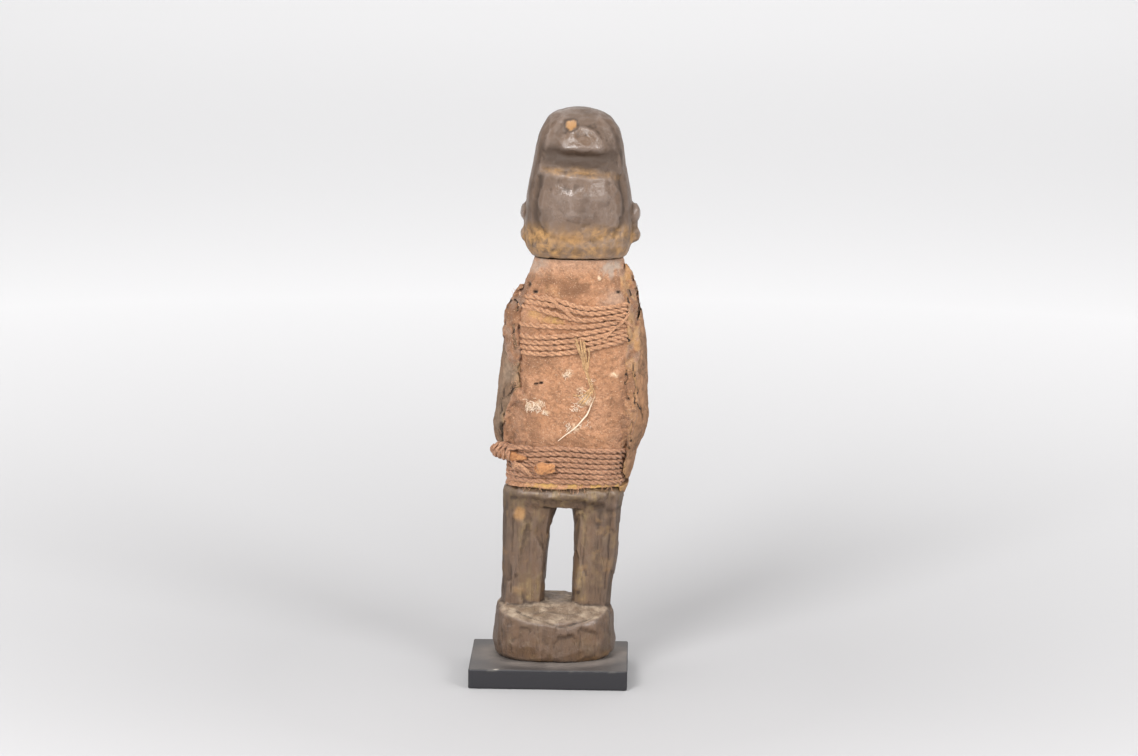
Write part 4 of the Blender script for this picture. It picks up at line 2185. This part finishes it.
        clumps = (
            (-14.4, 144.6, 2.4, 34), (-11.6, 141.6, 2.8, 34), (-7, 141.2, 3.2, 52), (-3.4, 138.4, 2, 14),
            (7.6, 158.4, 1.8, 20), (20.8, 155, 2, 8), (17, 146, 4.2, 70), (12.6, 141, 2.6, 24),
            (8, 131, 3.2, 24), (17.5, 133, 3, 14),
        )
        for x, z, spread, count in clumps:
            for _ in range(count):
                across, height = random.normal(0.0, spread / 2, 2)
                grow(tufts, x + across, z + height, any_way(0.4), random.uniform(0.6, 2.3))
        for _ in range(420):
            grow(
                fuzz, random.uniform(-15.0, 33.0), random.uniform(121.0, 168.0), any_way(0.25),
                random.uniform(0.8, 2.4)
            )
        for low, high, count in ((104, 121, 150), (170, 197, 220)):
            for _ in range(count):
                grow(
                    fuzz, random.uniform(-14.0, 34.0), random.uniform(low, high), any_way(0.7),
                    random.uniform(0.8, 2.2), -0.1
                )
        for x in random.uniform(-14.0, 32.0, 70):
            comb = (random.normal(0.0, 0.6), -random.uniform(0.1, 0.5), -1.0)
            grow(fuzz, x, random.uniform(98.6, 101.0), comb, random.uniform(1.0, 3.2), 0.1)
        for z in random.uniform(122.0, 200.0, 150):
            for x, side in ((-18.5, 1), (38.5, -1)):
                comb = (
                    side * random.uniform(-0.2, 1.0), -random.uniform(0.1, 0.6), random.uniform(-1.0, 0.4)
                )
                grow(fuzz, x + random.normal(0.0, 1.2), z, comb, random.uniform(1.0, 3.0))
        for name, grown, finish, slot, thick in (
            ("pale_tufts", tufts, pale, Slot.FIBRE, 0.070),
            ("cord_fuzz", fuzz, cord, Slot.CORD, 0.040),
        ):
            roots, combs, reaches = (np.array(column) for column in zip(*grown))
            host = fibre_host(name + "_roots", roots, combs, reaches)
            made = run_tree(
                host, looms.fibre, name, Thickness=thick, Bend=0.3, Sides=4, Seed=self.seed, Material=finish
            )
            settle(made, slot, finish)


# Plinth


@dataclass
class Plinth:
    """The painted block, with soft edges and a few rubbed spots."""

    edge: float = 0.9
    step: float = 0.9

    def build(self) -> Piece:
        """Make the block.

        Returns:
            The piece, with its masks.
        """
        low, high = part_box("plinth")
        x0, y0, z0 = (value / MM for value in low)
        x1, y1, z1 = (value / MM for value in high)
        box = make_mesh(
            "plinth_scratch",
            np.array([(x, y, z) for z in (z0, z1) for y in (y0, y1) for x in (x0, x1)]),
            [(0, 2, 3, 1), (4, 5, 7, 6), (0, 1, 5, 4), (2, 6, 7, 3), (0, 4, 6, 2), (1, 3, 7, 5)],
        )

        def modify(scratch: Piece) -> None:
            """Round the edges, then cut the faces fine.

            Args:
                scratch: the copy to change.
            """
            bevel = scratch.modifiers.new("Bevel", "BEVEL")
            bevel.width = self.edge * MM
            bevel.segments = 4
            bevel.limit_method = "NONE"

        rounded = plain_copy(box, "plinth_round", modify)
        bpy.data.objects.remove(box)
        mesh = rounded.data
        work = bmesh.new()
        work.from_mesh(mesh)
        for axis, start, end in ((0, x0, x1), (1, y0, y1), (2, z0, z1)):
            for cut in np.arange(start + 1.5, end - 1.4, self.step * 2):
                normal = Vector([1.0 if k == axis else 0.0 for k in range(3)])
                parts = work.verts[:] + work.edges[:] + work.faces[:]
                bmesh.ops.bisect_plane(work, geom=parts, plane_co=normal * float(cut) * MM, plane_no=normal)
        work.to_mesh(mesh)
        work.free()
        rounded.name = "painted_plinth"
        skin = Skin(rounded)
        points = skin.points.copy()
        x, y, z = points.T
        foot = np.hypot((x - 2.0) / 31.0, (y - 6.0) / 25.0)
        ring = ramp(1.5, 1.1, foot + 0.05 * rough(points, 8.0, 121)) * 0.65 + 0.45
        top = ramp(z1 - 0.4, z1 - 0.05, z)
        dust = top * ring * 0.85
        edge_wear = ramp(0.3, 0.7, rough(points, 4.0, 125)) * ramp(z1 - 1.6, z1 - 0.5, z) * (1 - top)
        chips = np.zeros(len(points))
        for place, width in (
            ((-35.2, -27, 10.3), 0.8), ((-32.1, -28.8, 10.3), 0.6), ((-26, -30.6, 10.2), 0.5)
        ):
            away = apart(points, place, (0.5, 1.0, 1.0))
            chips = np.maximum(chips, ramp(width, 0.4 * width, away))
        return skin.finish(dust=dust, chip=0.7 * chips + 0.10 * edge_wear)


# Stage


@dataclass(frozen=True)
class Studio:
    """A pale floor, soft lamps over the figure and round the room, and the catalogue camera."""

    lens: float = 115.47
    film: float = 36.0
    pitch: float = 10.177
    yaw: float = 1.175
    roll: float = 0.586
    away: float = 1840.5
    target: Point = (8.62, 0.0, 154.12)

    def camera(self) -> None:
        """Place the camera."""
        pitch, yaw, roll = (math.radians(v) for v in (self.pitch, self.yaw, self.roll))
        forward = Vector(
            (-math.sin(yaw) * math.cos(pitch), math.cos(yaw) * math.cos(pitch), -math.sin(pitch))
        )
        right = Vector((math.cos(yaw), math.sin(yaw), 0.0))
        up = right.cross(forward)
        tilted = right * math.cos(roll) + up * math.sin(roll)
        upright = -right * math.sin(roll) + up * math.cos(roll)
        data = bpy.data.cameras.new("Camera")
        data.lens = self.lens
        data.sensor_width = self.film
        data.sensor_fit = "HORIZONTAL"
        data.clip_end = 50.0
        seat = show("Camera", data)
        turn = Matrix((tilted, upright, -forward)).transposed().to_4x4()
        place = (Vector(self.target) - forward * self.away) * MM
        seat.matrix_world = Matrix.Translation(place) @ turn
        bpy.context.scene.camera = seat

    def floor(self) -> Piece:
        """Lay the pale floor, lighter far off.

        Returns:
            The floor.
        """
        reach = 9000.0
        turns = np.linspace(0.0, 2 * math.pi, 64, endpoint=False)
        rim = np.column_stack([reach * np.cos(turns), reach * np.sin(turns), np.zeros(64)])
        floor = make_mesh("pale_floor", rim, [range(64)])
        paper = Paintbox("Pale paper", Specular_IOR_Level=0.15, Roughness=0.9)
        place = paper.add("ShaderNodeTexCoord").outputs["Object"]
        far = paper.add("ShaderNodeVectorMath", {0: place}, operation="LENGTH").outputs["Value"]
        colour = paper.mix(paper.remap(far, 0.15, 1.25), (0.465, 0.459, 0.463), (0.93, 0.925, 0.93))
        paper.link(colour, paper.surface.inputs["Base Color"])
        floor.data.materials.append(paper.material)
        return floor

    def lamp(self, name: str, place: Point, aim: Point, size: float, power: float) -> None:
        """Place a soft square lamp.

        Args:
            name: the lamp's name.
            place: where it is, in millimetres.
            aim: what it points at.
            size: its side.
            power: its power in watts.
        """
        data = bpy.data.lights.new(name, "AREA")
        data.shape = "SQUARE"
        data.size = size * MM
        data.energy = power
        lamp = show(name, data)
        lamp.location = Vector(place) * MM
        lamp.rotation_euler = (Vector(aim) - Vector(place)).to_track_quat("-Z", "Y").to_euler()

    def build(self) -> None:
        """Set the stage."""
        self.camera()
        self.floor()
        self.lamp("Left lamp", (-650, -1350, 1050), (0, 0, 170), 600.0, 26.0)
        self.lamp("Right lamp", (1100, -1150, 900), (0, 0, 150), 600.0, 14.0)
        self.lamp("Top lamp", (0, 300, 1900), (0, 0, 0), 1200.0, 9.0)
        for name, x, y in (
            ("Far", 0.0, 5000.0), ("Near", 0.0, -5000.0), ("East", 5000.0, 0.0), ("West", -5000.0, 0.0)
        ):
            self.lamp(name + " lamp", (x, y, 3000.0), (x, y, 0.0), 4000.0, 65.0)
        world = bpy.data.worlds.new("Room")
        world.use_nodes = True
        world.node_tree.nodes["Background"].inputs["Color"].default_value = (1.0, 0.995, 1.0, 1.0)
        world.node_tree.nodes["Background"].inputs["Strength"].default_value = 0.45
        bpy.context.scene.world = world
        bpy.context.scene.view_settings.view_transform = "Standard"


def main() -> None:
    """Build every piece in order and report it."""
    logging.basicConfig(level=logging.INFO, format="%(name)s: %(message)s")
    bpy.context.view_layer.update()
    Studio().build()
    effects = Effects.build()
    looms = Looms.build()
    chest_finish = PlantFibre("Chest cord", (0.660, 0.372, 0.212), (0.250, 0.120, 0.064)).material(effects)
    waist_finish = PlantFibre("Waist cord", (0.530, 0.290, 0.172), (0.200, 0.098, 0.056)).material(effects)
    pale_finish = PlantFibre(
        "Pale fibre", (0.900, 0.780, 0.640), (0.680, 0.490, 0.330), 0.3
    ).material(effects)
    straw_finish = PlantFibre("Straw", (0.670, 0.425, 0.215), (0.290, 0.155, 0.068)).material(effects)
    hide_finish = PlantFibre("Tan hide", (0.580, 0.285, 0.120), (0.280, 0.120, 0.050)).material(effects)
    settle(Carving().build(), Slot.WOOD, OldWood().material(effects), "figure")
    wrap = ClothWrap()
    cloth_finish = CrustedCloth().material(effects)
    sleeve = settle(wrap.build(), Slot.CLOTH, cloth_finish, "wrapped_cloth")
    chest = Lashing("chest_cord", CHEST_HEIGHTS, CHEST_STATIONS, (202.0, 183.0), seed=11)
    lashing = settle(chest.build(wrap, looms, chest_finish), Slot.CORD, chest_finish, "chest_lashing")
    waist = Lashing(
        "waist_cord", WAIST_HEIGHTS, WAIST_STATIONS, (120.0, 103.5), seed=12, loops=WaistKnot().lines()
    )
    belt = settle(waist.build(wrap, looms, waist_finish), Slot.CORD, waist_finish, "waist_lashing")
    shell = settle(Packet().build(), Slot.CRUST, PacketCrust().material(effects), "packet")
    under = Probe(sleeve, lashing, shell)
    for crust in FLANKS:
        settle(crust.build(under), Slot.CLOTH, cloth_finish)
    trims = Trims(Probe(sleeve, lashing, belt, shell))
    trims.strand(straw_finish)
    trims.scrap(hide_finish)
    trims.lump(hide_finish)
    trims.ties(straw_finish, chest_finish)
    trims.fibres(looms, pale_finish, chest_finish)
    settle(Plinth().build(), Slot.PAINT, BlackPaint().material(effects), "plinth")


if __name__ == "__main__":
    main()
